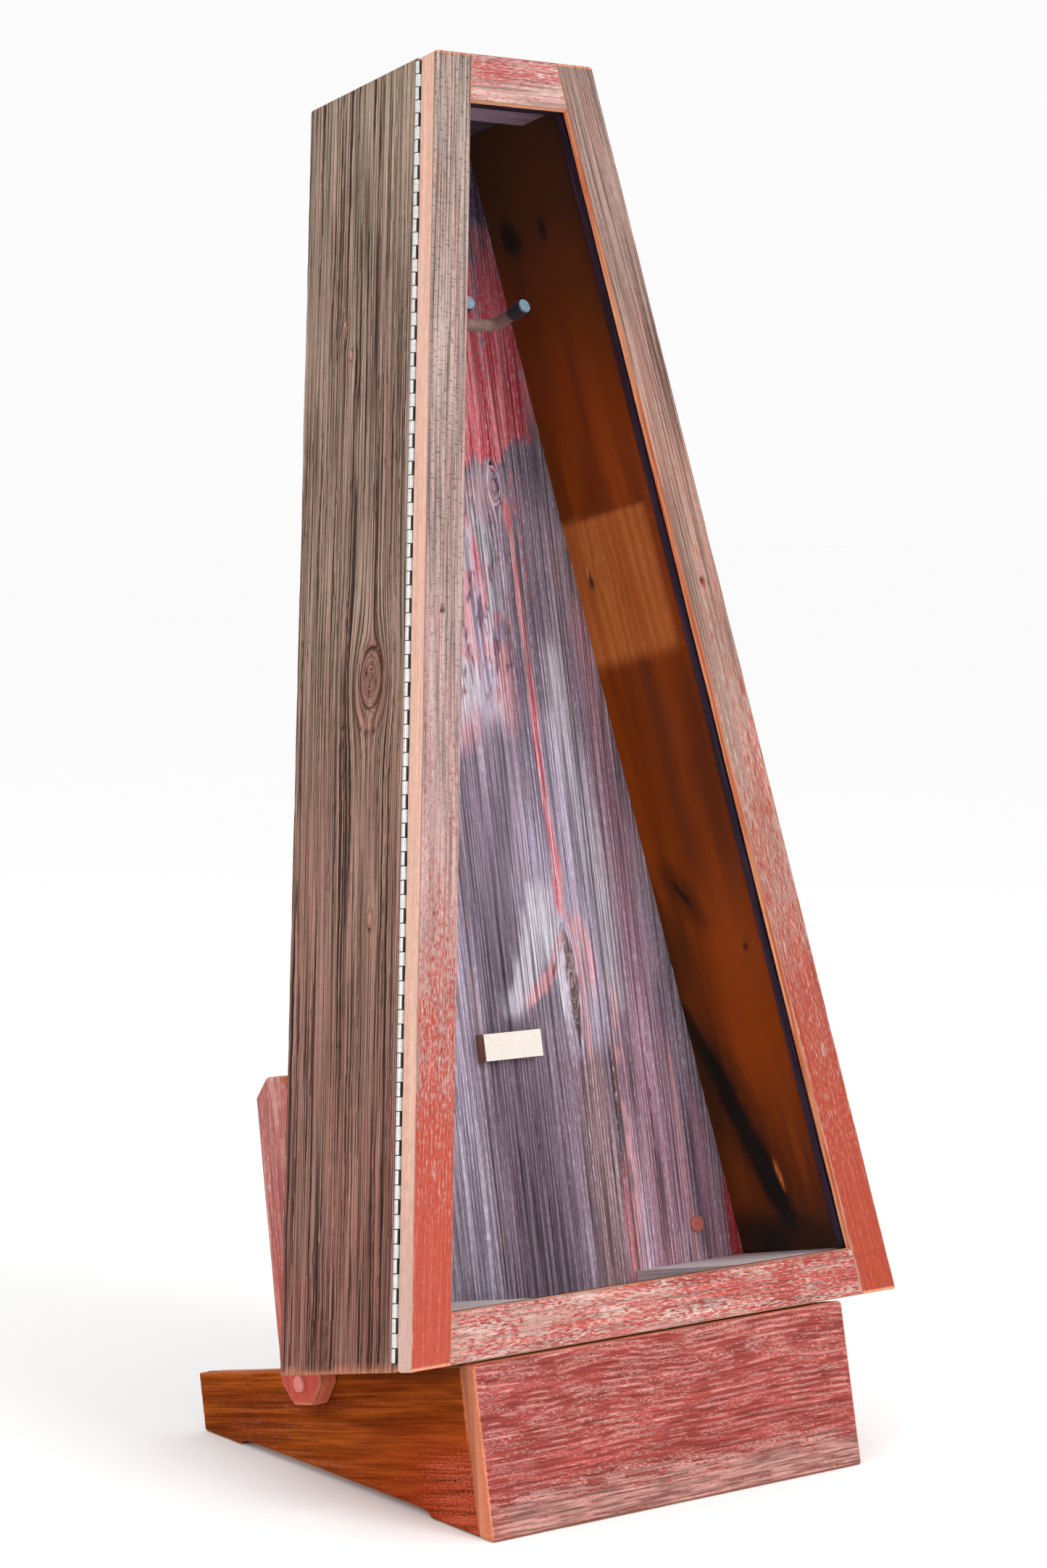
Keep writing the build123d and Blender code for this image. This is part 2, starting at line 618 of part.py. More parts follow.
EDGE = 1.0                                        # room round the pane in its rebate
lo, hi = OPEN_LO - REBATE + EDGE, OPEN_HI + REBATE - EDGE
with BuildPart() as glass_pane:
    with BuildSketch(front_plane(LIP + GLASS)):
        with BuildLine():
            Polyline((-(stile_in(lo) + REBATE - EDGE), lo), (stile_in(lo) + REBATE - EDGE, lo),
                     (stile_in(hi) + REBATE - EDGE, hi), (-(stile_in(hi) + REBATE - EDGE), hi), close=True)
        make_face()
    extrude(amount=GLASS)
glass_pane.part.label = "glass_pane"
export_step(glass_pane.part, "parts/glass_pane.step")

# glazing beads behind the pane
BEAD = 9.4
blo, bhi = OPEN_LO - REBATE + 0.4, OPEN_HI + REBATE - 0.4
PINS_W = [90 + i * (H - 180) / 7 for i in range(8)]
PINS_U = {"bottom": (-160.0, -55.0, 55.0, 160.0), "top": (-30.0, 30.0)}
PIN_V = 16.0
for hand, s in (("left", -1), ("right", 1)):
    with BuildPart() as bead:
        with BuildSketch(front_plane(DOOR_T - 0.1)):
            with BuildLine():
                Polyline((s * (stile_in(blo) + 0.2), blo), (s * (stile_in(blo) + 0.2 + BEAD), blo),
                         (s * (stile_in(bhi) + 0.2 + BEAD), bhi), (s * (stile_in(bhi) + 0.2), bhi), close=True)
            make_face()
        extrude(amount=DOOR_T - 0.1 - LIP - GLASS)
        for w in PINS_W:
            bore(side_plane(s * (stile_in(w) - 2)), [(PIN_V, w)], 0.82, s * 20)
    bead.part.label = f"bead_{hand}"
    export_step(bead.part, f"parts/bead_{hand}.step")
for name, w0, w1 in (("bottom", blo, OPEN_LO - 0.2), ("top", OPEN_HI + 0.2, bhi)):
    with BuildPart() as bead:
        with BuildSketch(front_plane(DOOR_T - 0.1)):
            with BuildLine():
                Polyline((-stile_in(w0), w0), (stile_in(w0), w0), (stile_in(w1), w1), (-stile_in(w1), w1),
                         close=True)
            make_face()
        extrude(amount=DOOR_T - 0.1 - LIP - GLASS)
    bead.part.label = f"bead_{name}"
    export_step(bead.part, f"parts/bead_{name}.step")

# brads through the side beads only as far as the rebate wall
with BuildPart() as bead_brads:
    for s in (-1, 1):
        for w in PINS_W:
            with BuildSketch(side_plane(s * (stile_in(w) + 0.9))):
                with Locations((PIN_V, w)):
                    Circle(0.8)
            extrude(amount=s * 8.2)
bead_brads.part.label = "bead_brads"
export_step(bead_brads.part, "parts/bead_brads.step")

with BuildPart() as catch_strike:
    with BuildSketch(front_plane(23.1)):
        with Locations((half(MAGNET_W) - 7.5, MAGNET_W)):
            Circle(4.0)
    extrude(amount=23.1 - DOOR_T + 4.0)
    chamfer(catch_strike.edges().group_by(lambda e: e.center().dot(V))[-1], 0.4)
catch_strike.part.label = "catch_strike"
export_step(catch_strike.part, "parts/catch_strike.step")

# ================================================================== PIANO HINGE
# hinge frame: x inwards square to the side, y up the slanted edge, z towards the front
A_UP = U * ST + W * CT
A_IN = U * CT - W * ST
HINGE_START = 8.0
HINGE_L = KNUCKLE * KNUCKLES


def hinge_plane(v):
    """Sketch in (x inwards, y up the edge) at depth v; extruding goes forwards."""
    base = at(-half(0), v, 0) + A_UP * HINGE_START
    return Plane(origin=base, x_dir=A_IN, z_dir=-V)


hinge_foot = Plane(origin=at(-half(0), AXIS_V, 0) + A_UP * HINGE_START, x_dir=A_IN, z_dir=A_UP)
GAP = 0.15                                        # end clearance of a knuckle
SCREWS_H = [(8.2, KNUCKLE * 3.5 + i * (HINGE_L - KNUCKLE * 7) / 11) for i in range(12)]
for owner, v0, first in (("case", CASE_F, 0), ("door", DOOR_T + LEAF_T, 1)):
    n_own = (KNUCKLES + 1 - first) // 2
    n_other = KNUCKLES - n_own
    with BuildPart() as leaf:
        with BuildSketch(hinge_foot):
            Circle(BARREL_R)
        extrude(amount=HINGE_L)
        with BuildSketch(hinge_plane(v0)):
            with Locations((LEAF_W / 2, HINGE_L / 2)):
                Rectangle(LEAF_W, HINGE_L)
        extrude(amount=LEAF_T)
        # clear the other leaf's knuckles
        other_first = 1 - first
        with BuildSketch(hinge_plane(AXIS_V + 4.0)):
            with Locations(*[(0, (other_first + 2 * i + 0.5) * KNUCKLE) for i in range(n_other)]):
                Rectangle(2 * (BARREL_R + 0.3), KNUCKLE + 2 * GAP)
        extrude(amount=8.0, mode=Mode.SUBTRACT)
        bore(Plane(origin=hinge_foot.origin - A_UP * 5, x_dir=A_IN, z_dir=A_UP), [(0, 0)], PIN_BORE_R, HINGE_L + 10)
        bore(hinge_plane(v0 + 1), SCREWS_H, 1.85, 6)
    leaf.part.label = f"hinge_leaf_{owner}"
    export_step(leaf.part, f"parts/hinge_leaf_{owner}.step")

with BuildPart() as hinge_pin:
    with BuildSketch(hinge_foot):
        Circle(PIN_R)
    extrude(amount=HINGE_L)
hinge_pin.part.label = "hinge_pin"
export_step(hinge_pin.part, "parts/hinge_pin.step")

# leaf screws: heads proud inside the gap, shanks in the leaf's own hole and the wood
with BuildPart() as hinge_screws_case:
    with BuildSketch(hinge_plane(CASE_F - LEAF_T)):
        with Locations(*SCREWS_H):
            Circle(3.0)
    extrude(amount=0.7)
    with BuildSketch(hinge_plane(CASE_F)):
        with Locations(*SCREWS_H):
            Circle(1.8)
    extrude(amount=LEAF_T)
hinge_screws_case.part.label = "hinge_screws_case"
export_step(hinge_screws_case.part, "parts/hinge_screws_case.step")

with BuildPart() as hinge_screws_door:
    with BuildSketch(hinge_plane(DOOR_T + LEAF_T + 0.7)):
        with Locations(*SCREWS_H):
            Circle(3.0)
    extrude(amount=0.7)
    with BuildSketch(hinge_plane(DOOR_T + LEAF_T)):
        with Locations(*SCREWS_H):
            Circle(1.8)
    extrude(amount=LEAF_T)
hinge_screws_door.part.label = "hinge_screws_door"
export_step(hinge_screws_door.part, "parts/hinge_screws_door.step")

# ================================================================== FLOOR STAND
BLOCK_U0, BLOCK_V1, BLOCK_W0, BLOCK_W1 = 170.5, 52.0, -112.0, -22.0
side_in = STAND_HALF - T_BOARD
block_screws_v = [(185.5, -45.0), (185.5, -90.0)]   # (u, w), driven forwards into the front board
block_screws_u = [(37.0, -32.0), (37.0, -67.0), (37.0, -102.0)]   # (v, w), driven sideways

EASE = (0.0, 0.06, 0.16, 0.32, 0.52, 0.76, 1.0)
relief_f = [from_row(58.2 + 21.8 * t, RELIEF * (1 - (1 - t) ** 2) ** 0.5) for t in EASE]
relief_r = [from_row(354.6 - 21.8 * t, RELIEF * (1 - (1 - t) ** 2) ** 0.5) for t in reversed(EASE)]
side_outline = [(FRONT_BOARD_B, STAND_TOP), (FRONT_BOARD_B, floor_w(FRONT_BOARD_B)), *relief_f, *relief_r,
                (STAND_REAR - 1.0, floor_w(STAND_REAR - 1.0)), (STAND_REAR + 0.5, floor_w(STAND_REAR) + 1.5),
                (STAND_REAR, STAND_TOP - 3.5), (STAND_REAR - 2.5, STAND_TOP - 1.0)]
STRETCH_V0, STRETCH_V1 = 380.0, 399.0
for hand, s in (("left", -1), ("right", 1)):
    with BuildPart() as stand_side:
        with BuildSketch(side_plane(s * side_in)):
            with BuildLine():
                Polyline(*side_outline, close=True)
            make_face()
        extrude(amount=s * T_BOARD)
        chamfer(stand_side.edges().group_by(lambda e: e.center().X * s)[-1], 0.6)
        bore(side_plane(s * (side_in - 1)), [(PIVOT_V, PIVOT_W)], BOLT_BORE_R, s * 40)
        bore(side_plane(s * (side_in - 1)), block_screws_u, 2.05, s * 13)
        bore(side_plane(s * (side_in - 1)), [(389.5, -50.0)], 2.05, s * 40)
        bore(side_plane(s * (STAND_HALF - 3)), [(389.5, -50.0)], 4.35, s * 40)
    stand_side.part.label = f"stand_side_{hand}"
    export_step(stand_side.part, f"parts/stand_side_{hand}.step")

with BuildPart() as stand_front_board:
    with BuildSketch(side_plane(-STAND_HALF)):
        with BuildLine():
            Polyline((FRONT_BOARD_F, -2.0), (FRONT_BOARD_B, -2.0), (FRONT_BOARD_B, floor_w(FRONT_BOARD_B)),
                     (FRONT_BOARD_F, floor_w(FRONT_BOARD_F)), close=True)
        make_face()
    extrude(amount=2 * STAND_HALF)
    upright = stand_front_board.edges().filter_by(lambda e: abs(e.length - (FRONT_BOARD_B - FRONT_BOARD_F)) < 0.2)
    fillet(upright.group_by(lambda e: e.center().Z)[-1], 5.0)
    bore(front_plane(FRONT_BOARD_B + 1), [(s * u, w) for s in (-1, 1) for u, w in block_screws_v], 2.05, 13)
stand_front_board.part.label = "stand_front_board"
export_step(stand_front_board.part, "parts/stand_front_board.step")

with BuildPart() as stand_rear_stretcher:
    with BuildSketch(side_plane(-side_in)):
        with BuildLine():
            Polyline((STRETCH_V0, -30.0), (STRETCH_V1, -30.0), (STRETCH_V1, floor_w(STRETCH_V1) + 3.0),
                     (STRETCH_V0, floor_w(STRETCH_V0) + 3.0), close=True)
        make_face()
    extrude(amount=2 * side_in)
    for s in (-1, 1):
        bore(side_plane(s * (side_in - 24)), [(389.5, -50.0)], 2.05, s * 40)
stand_rear_stretcher.part.label = "stand_rear_stretcher"
export_step(stand_rear_stretcher.part, "parts/stand_rear_stretcher.step")

with BuildPart() as stretcher_screws:
    for s in (-1, 1):
        with BuildSketch(side_plane(s * (STAND_HALF - 3))):
            with Locations((389.5, -50.0)):
                Circle(4.3)
        extrude(amount=s * 2.7)
        with BuildSketch(side_plane(s * (side_in - 23))):
            with Locations((389.5, -50.0)):
                Circle(2.0)
        extrude(amount=s * (23 + T_BOARD - 3))
stretcher_screws.part.label = "stretcher_screws"
export_step(stretcher_screws.part, "parts/stretcher_screws.step")

with BuildPart() as stand_corner_blocks:
    for s in (-1, 1):
        with BuildSketch(side_plane(s * BLOCK_U0)):
            with Locations(((FRONT_BOARD_B + BLOCK_V1) / 2, (BLOCK_W0 + BLOCK_W1) / 2)):
                Rectangle(BLOCK_V1 - FRONT_BOARD_B, BLOCK_W1 - BLOCK_W0)
        extrude(amount=s * (side_in - BLOCK_U0))
    inner_edges = stand_corner_blocks.edges().filter_by(
        lambda e: e.length > 80 and abs(abs(e.center().X) - BLOCK_U0) < 0.1).group_by(lambda e: e.center().dot(V))[-1]
    chamfer(inner_edges, 4.0)
    bore(front_plane(BLOCK_V1 + 1), [(s * u, w) for s in (-1, 1) for u, w in block_screws_v], 2.05, 40)
    for s in (-1, 1):
        bore(side_plane(s * (BLOCK_U0 - 1)), block_screws_u, 2.05, s * 40)
stand_corner_blocks.part.label = "stand_corner_blocks"
export_step(stand_corner_blocks.part, "parts/stand_corner_blocks.step")

with BuildPart() as corner_block_screws:
    with BuildSketch(front_plane(BLOCK_V1 + 1.6)):
        with Locations(*[(s * u, w) for s in (-1, 1) for u, w in block_screws_v]):
            Circle(3.8)
    extrude(amount=1.6)
    with BuildSketch(front_plane(BLOCK_V1)):
        with Locations(*[(s * u, w) for s in (-1, 1) for u, w in block_screws_v]):
            Circle(2.0)
    extrude(amount=BLOCK_V1 - FRONT_BOARD_B + 11.0)
    for s in (-1, 1):
        with BuildSketch(side_plane(s * (BLOCK_U0 - 1.6))):
            with Locations(*block_screws_u):
                Circle(3.8)
        extrude(amount=s * 1.6)
        with BuildSketch(side_plane(s * BLOCK_U0)):
            with Locations(*block_screws_u):
                Circle(2.0)
        extrude(amount=s * (side_in - BLOCK_U0 + 11.0))
corner_block_screws.part.label = "corner_block_screws"
export_step(corner_block_screws.part, "parts/corner_block_screws.step")

# thin felt strips that the case stands on
with BuildPart() as rest_felts:
    for s in (-1, 1):
        with BuildSketch(level_plane(STAND_TOP)):
            with Locations((s * (side_in + T_BOARD / 2), 120.0)):
                Rectangle(15.0, 130.0)
        extrude(amount=-STAND_TOP - 0.1)
rest_felts.part.label = "rest_felts"
export_step(rest_felts.part, "parts/rest_felts.step")
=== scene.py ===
import math
import bpy
import numpy as np
from mathutils import Matrix, Vector


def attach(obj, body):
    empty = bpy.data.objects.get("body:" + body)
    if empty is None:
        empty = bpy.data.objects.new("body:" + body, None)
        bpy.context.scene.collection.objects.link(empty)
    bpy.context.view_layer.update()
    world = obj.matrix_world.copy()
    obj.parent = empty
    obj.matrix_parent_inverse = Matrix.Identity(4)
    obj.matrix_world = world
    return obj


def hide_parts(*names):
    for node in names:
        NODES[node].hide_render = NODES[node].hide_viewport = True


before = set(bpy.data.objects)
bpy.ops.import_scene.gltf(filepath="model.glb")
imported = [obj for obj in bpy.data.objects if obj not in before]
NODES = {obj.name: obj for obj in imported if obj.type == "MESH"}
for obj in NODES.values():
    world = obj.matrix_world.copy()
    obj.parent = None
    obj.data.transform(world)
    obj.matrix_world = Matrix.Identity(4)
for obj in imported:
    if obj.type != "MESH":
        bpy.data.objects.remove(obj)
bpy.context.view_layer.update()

# ------------------------------------------------------------------ frames (millimetres in the case frame)
LEAN = math.radians(12.6)
S, C = math.sin(LEAN), math.cos(LEAN)
H, W_BOT, W_TOP = 1178.1, 577.0, 187.1
TAPER = math.atan2((W_BOT - W_TOP) / 2, H)
K = (W_BOT - W_TOP) / 2 / H
ST, CT = math.sin(TAPER), math.cos(TAPER)
T_SLANT = 19.0 / CT
STILE_SLANT = 43.0 / CT
FLOOR_Z = 152.32
Y0 = -209.81902048
CASE_F, CASE_B, BACK_F = 26.5, 198.5, 181.0
DOOR_T, LIP, REBATE = 20.1, 8.3, 10.0
RAIL_T, RAIL_B = 45.3, 44.6
FRAME = np.array([[1, 0, 0], [0, C, S], [0, -S, C]], float)      # case axes as columns of the row frame
ORIGIN = np.array([0.0, Y0, FLOOR_Z])


def to_row(p):
    return (ORIGIN + np.asarray(p, float) @ FRAME.T) / 1000.0


def at(u, v, w):
    return Vector(to_row((u, v, w)))


def half(w):
    return W_BOT / 2 - K * w


def inner(w):
    return half(w) - T_SLANT


def stile_in(w):
    return half(w) - STILE_SLANT


def w_inner(u):
    return (W_BOT / 2 - T_SLANT - np.abs(u)) / K


def floor_w(v):
    return (v * S - FLOOR_Z) / C


# ------------------------------------------------------------------ noise
def _hash(i, j, seed):
    n = (i * 374761393 + j * 668265263 + seed * 1274126177) & 0xFFFFFFFF
    n = ((n ^ (n >> 13)) * 1103515245) & 0xFFFFFFFF
    n = ((n ^ (n >> 16)) * 2246822519) & 0xFFFFFFFF
    return ((n ^ (n >> 15)) & 0xFFFFFF) / float(0xFFFFFF)


def n2(x, y, seed=0):
    """Smooth value noise, -1..1."""
    xi, yi = np.floor(x).astype(np.int64), np.floor(y).astype(np.int64)
    fx, fy = x - xi, y - yi
    ux, uy = fx * fx * (3 - 2 * fx), fy * fy * (3 - 2 * fy)
    a, b = _hash(xi, yi, seed), _hash(xi + 1, yi, seed)
    c, d = _hash(xi, yi + 1, seed), _hash(xi + 1, yi + 1, seed)
    return ((a * (1 - ux) + b * ux) * (1 - uy) + (c * (1 - ux) + d * ux) * uy) * 2 - 1


def fbm(x, y, seed=0, octaves=4, gain=0.5):
    out, amp, total = 0, 1.0, 0.0
    for k in range(octaves):
        out = out + amp * n2(x * 2 ** k, y * 2 ** k, seed + 17 * k)
        total += amp
        amp *= gain
    return out / total


def ss(e0, e1, x):
    t = np.clip((x - e0) / (e1 - e0), 0, 1)
    return t * t * (3 - 2 * t)


def bump_at(x, lo, hi, soft):
    return ss(lo - soft, lo + soft, x) * (1 - ss(hi - soft, hi + soft, x))


def rgb(r, g, b):
    v = np.array([r, g, b], float) / 255
    return np.where(v <= 0.04045, v / 12.92, ((v + 0.055) / 1.055) ** 2.4)


def mix(a, b, t):
    a = np.asarray(a, float)
    b = np.asarray(b, float)
    t = np.clip(np.asarray(t, float), 0, 1)[..., None]
    return a * (1 - t) + b * t


# ------------------------------------------------------------------ boards
def ring_of(corners, radius, steps, width, segs=3):
    """Points round a section. corners are (alpha, offset, b); returns alpha, offset, b, na, nb, side, edge distance."""
    pts = [np.array([c[0] * width + c[1], c[2]], float) for c in corners]
    n = len(pts)
    area = sum(pts[i][0] * pts[(i + 1) % n][1] - pts[(i + 1) % n][0] * pts[i][1] for i in range(n))
    turn = 1.0 if area > 0 else -1.0
    dirs, lens = [], []
    for i in range(n):
        d = pts[(i + 1) % n] - pts[i]
        lens.append(np.linalg.norm(d))
        dirs.append(d / lens[-1])
    convex = [turn * (dirs[i - 1][0] * dirs[i][1] - dirs[i - 1][1] * dirs[i][0]) > 0 for i in range(n)]
    rad = [min(radius, 0.45 * min(lens[i - 1], lens[i])) if convex[i] else 0.0 for i in range(n)]
    out = []
    for i in range(n):
        j = (i + 1) % n
        d, nrm = dirs[i], np.array([dirs[i][1], -dirs[i][0]]) * turn
        c0, c1 = corners[i], corners[j]
        r0, r1 = rad[i], rad[j]
        length = lens[i] - r0 - r1
        k = max(1, int(math.ceil(length / steps[i])))
        for q in range(k + 1):
            t = q / k
            al = c0[0] * (1 - t) + c1[0] * t
            of = (c0[1] + d[0] * r0) * (1 - t) + (c1[1] - d[0] * r1) * t
            b = (c0[2] + d[1] * r0) * (1 - t) + (c1[2] - d[1] * r1) * t
            along = r0 + t * length
            near = min(along if convex[i] else 1e3, (lens[i] - along) if convex[j] else 1e3)
            if q == k and not convex[j]:
                continue
            out.append((al, of, b, nrm[0], nrm[1], i, near))
        if convex[j] and r1 > 0:
            nd = dirs[j]
            n2_ = np.array([nd[1], -nd[0]]) * turn
            cx = np.array([c1[1] - d[0] * r1, c1[2] - d[1] * r1]) - nrm * r1
            for q in range(1, segs):
                f = q / segs * math.pi / 2
                nn = nrm * math.cos(f) + n2_ * math.sin(f)
                p = cx + nn * r1
                out.append((c1[0], p[0], p[1], nn[0], nn[1], i if q * 2 <= segs else j, 0.0))
    return [np.array(c, float) for c in zip(*out)]


class Ctx:
    pass


def knot_flow(a, s, knots):
    """Grain coordinate that bends round knots (a, s, radius, stretch along the grain)."""
    psi = a.astype(float).copy()
    core = np.zeros_like(psi)
    rim = np.zeros_like(psi)
    for ka, ks, r, k in knots:
        x, y = a - ka, (s - ks) / k
        d2 = x * x + y * y
        d = np.sqrt(d2) + 1e-6
        fall = np.exp(-d2 / (4.2 * r) ** 2)
        inside = 1 - ss(0.92, 1.08, d / r)
        push = x * (r * r / np.maximum(d2, r * r)) * fall
        psi = (psi - push) * (1 - inside) + inside * (ka + (d - r) * 1.7)
        core = np.maximum(core, inside)
        rim = np.maximum(rim, np.exp(-((d - r) / (0.22 * r)) ** 2))
    return psi, core, rim


def build(name, co, faces4, ngons, attrs, materials, smooth_angle=48):
    mesh = bpy.data.meshes.new(name)
    nv = len(co)
    mesh.vertices.add(nv)
    mesh.vertices.foreach_set("co", np.ascontiguousarray(co, np.float32).ravel())
    loops = np.concatenate([faces4.ravel()] + [np.array(g, np.int64) for g in ngons]).astype(np.int32)
    totals = np.concatenate([np.full(len(faces4), 4), np.array([len(g) for g in ngons], np.int64)]).astype(np.int32)
    starts = np.concatenate([[0], np.cumsum(totals)[:-1]]).astype(np.int32)
    mesh.loops.add(len(loops))
    mesh.loops.foreach_set("vertex_index", loops)
    mesh.polygons.add(len(totals))
    mesh.polygons.foreach_set("loop_start", starts)
    mesh.polygons.foreach_set("loop_total", totals)
    mesh.polygons.foreach_set("use_smooth", np.ones(len(totals), bool))
    mesh.update(calc_edges=True)
    mesh.validate(clean_customdata=False)
    for key, (kind, data) in attrs.items():
        at_ = mesh.attributes.new(key, kind, "POINT")
        if kind == "FLOAT_COLOR":
            full = np.ones((nv, 4), np.float32)
            full[:, : data.shape[1]] = data
            at_.data.foreach_set("color", full.ravel())
        elif kind == "FLOAT_VECTOR":
            at_.data.foreach_set("vector", np.ascontiguousarray(data, np.float32).ravel())
        else:
            at_.data.foreach_set("value", np.ascontiguousarray(data, np.float32))
    mesh.set_sharp_from_angle(angle=math.radians(smooth_angle))
    obj = bpy.data.objects.new(name, mesh)
    bpy.context.scene.collection.objects.link(obj)
    for m in materials:
        mesh.materials.append(m)
    return obj


def board(name, node, body, material, look, O, G, A, B, section, width, slim, alim, ds=6.0,
          radius=1.6, step=1.3, side_steps=None, knots=(), extra_rows=(), mod=None, mode=1, segs=3, end_r=None,
          seed=0, wobble=0.35, second=None):
    """A sawn board: a section swept along the grain, its faces worn into ridges by look(ctx)."""
    O, G, A, B = (np.array(x, float) for x in (O, G, A, B))
    steps = side_steps or [step] * len(section)
    al, of, bb, na, nb, side, near = ring_of(section, radius, steps, width, segs)
    m = len(al)
    end_r = radius if end_r is None else end_r
    # rows: (tau, offset from that end, inset)
    lo, hi = slim(np.array([0.0]), np.array([0.0]))
    length = float(np.max(hi - lo))
    count = max(3, int(round(length / ds)))
    rows = [(0.0, 0.0, end_r), (0.0, end_r * 0.13, end_r * 0.5), (0.0, end_r * 0.5, end_r * 0.13), (0.0, end_r, 0.0)]
    rows += [(i / count, 0.0, 0.0) for i in range(1, count)]
    rows += [(x / length, 0.0, 0.0) for x in extra_rows]
    rows += [(1.0, -end_r, 0.0), (1.0, -end_r * 0.5, end_r * 0.13), (1.0, -end_r * 0.13, end_r * 0.5), (1.0, 0.0, end_r)]
    rows.sort(key=lambda x: (x[0], x[1]))
    tau = np.array([r[0] for r in rows])[:, None]
    off = np.array([r[1] for r in rows])[:, None]
    inset = np.array([r[2] for r in rows])[:, None]
    n = len(rows)
    one = np.ones((n, m))
    b = bb[None, :] * one - nb[None, :] * inset
    if mode == 1:
        a0, a1 = alim(None, b)
        a = a0 + al * (a1 - a0) + of - na * inset
        s0, s1 = slim(a, b)
        room = np.clip((s1 - s0) / (2.2 * max(end_r, 1e-6)), 0, 1)
        s = s0 + tau * (s1 - s0) + off * room
    else:
        s0, s1 = slim(None, b)
        s = (s0 + tau * (s1 - s0) + off) * one
        a0, a1 = alim(s, b)
        a = a0 + al * (a1 - a0) + of - na * inset
    if mod:
        a, b = mod(a, b, s, side[None, :] * one)
    c = Ctx()
    c.a, c.b, c.s = a, b, s
    c.na, c.nb = na[None, :] * one, nb[None, :] * one
    c.side = side[None, :] * one
    c.ends = np.minimum(np.abs(s - s0), np.abs(s1 - s))
    c.near = np.minimum(near[None, :] * one, c.ends)
    c.cap = (inset > 0.3 * end_r) * one
    c.psi, c.core, c.rim = knot_flow(a, s, knots)
    # the depth across the board turns with the face, so that the grain runs on over its edges
    c.psi = c.psi + 3.5 * fbm(a / 90 + b / 60, s / 420, seed + 91, 2)
    c.x = c.psi * np.abs(c.nb) + (b * 1.0 + a * 0.0) * np.abs(c.na) + np.where(np.abs(c.na) > 0.5, 777.0, 0)
    p0 = O + a[..., None] * A + b[..., None] * B + s[..., None] * G
    c.p = p0
    c.seed = seed
    zero = np.zeros_like(a)
    c.line, c.paint, c.cross, c.fleck, c.pcol = zero + 1.0, zero - 0.5, zero + 0.0, zero + 0.0, None
    col, rough, depth = look(c)
    pcol = col if c.pcol is None else c.pcol
    aux = np.stack([np.clip(c.line, 0, 1), np.clip(c.paint + 0.5, 0, 1), np.clip(c.cross, 0, 1)], -1).reshape(-1, 3)
    depth = depth * (0.35 + 0.65 * ss(0.0, 2.5, c.near))
    wob = wobble * (n2(s / 37 + 3.1, a / 50, seed + 5) + 0.6 * n2(s / 11, a / 60, seed + 6)) * (1 - ss(0.0, 3.0, near[None, :] * one))
    depth = np.maximum(depth + np.maximum(wob, -0.1) * 0.8, 0.0)
    p = p0 - depth[..., None] * (c.na[..., None] * A + c.nb[..., None] * B)
    co = p.reshape(-1, 3)
    idx = np.arange(n * m).reshape(n, m)
    q = np.stack([idx[:-1], np.roll(idx, -1, 1)[:-1], np.roll(idx, -1, 1)[1:], idx[1:]], -1).reshape(-1, 4)
    caps = [idx[0][::-1].tolist(), idx[-1].tolist()]
    rowp = to_row(co)
    # outward faces
    v0, v1, v2 = rowp[q[:, 0]], rowp[q[:, 1]], rowp[q[:, 2]]
    v3 = rowp[q[:, 3]]
    vol = np.einsum("ij,ij->i", v0, np.cross(v1, v2) + np.cross(v2, v3)).sum()
    centre = rowp.mean(0)
    vol = np.einsum("ij,ij->i", v0 - centre, np.cross(v1 - centre, v2 - centre) + np.cross(v2 - centre, v3 - centre)).sum()
    if vol < 0:
        q = q[:, ::-1]
        caps = [g[::-1] for g in caps]
    gp = np.stack([c.x, a * np.abs(c.na) + b * np.abs(c.nb) + 40.0 * c.side, s], -1).reshape(-1, 3) / 1000.0
    attrs = {
        "col": ("FLOAT_COLOR", np.clip(col.reshape(-1, 3), 0, 1)),
        "pc": ("FLOAT_COLOR", np.clip(pcol.reshape(-1, 3), 0, 1)),
        "aux": ("FLOAT_VECTOR", aux),
        "fk": ("FLOAT", np.clip(c.fleck.reshape(-1), 0, 1)),
        "rg": ("FLOAT", np.clip(rough.reshape(-1), 0.03, 1)),
        "gp": ("FLOAT_VECTOR", gp),
    }
    obj = build(name, rowp, q, caps, attrs, [material] + ([second[0]] if second else []))
    if second:
        on = (side[np.arange(m)] == second[1]).astype(np.int32)
        pick = np.zeros(len(obj.data.polygons), np.int32)
        pick[: (n - 1) * m] = np.tile(on, n - 1)
        obj.data.polygons.foreach_set("material_index", pick)
    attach(obj, body)
    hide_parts(*([node] if isinstance(node, str) else node))
    return obj


def rect(thick):
    return [(0, 0, 0), (1, 0, 0), (1, 0, -thick), (0, 0, -thick)]


# ------------------------------------------------------------------ materials
def new_mat(name):
    m = bpy.data.materials.new(name)
    m.use_nodes = True
    nt = m.node_tree
    nt.nodes.clear()
    out = nt.nodes.new("ShaderNodeOutputMaterial")
    bsdf = nt.nodes.new("ShaderNodeBsdfPrincipled")
    nt.links.new(bsdf.outputs[0], out.inputs["Surface"])
    return m, nt, bsdf, out


def scaled(nt, source, vec):
    n = nt.nodes.new("ShaderNodeVectorMath")
    n.operation = "MULTIPLY"
    nt.links.new(source, n.inputs[0])
    n.inputs[1].default_value = vec
    return n.outputs[0]


def noise(nt, vector, scale=1.0, detail=4.0, rough=0.55, dist=0.0):
    n = nt.nodes.new("ShaderNodeTexNoise")
    nt.links.new(vector, n.inputs["Vector"])
    n.inputs["Scale"].default_value = scale
    n.inputs["Detail"].default_value = detail
    n.inputs["Roughness"].default_value = rough
    n.inputs["Distortion"].default_value = dist
    return n.outputs["Fac"]


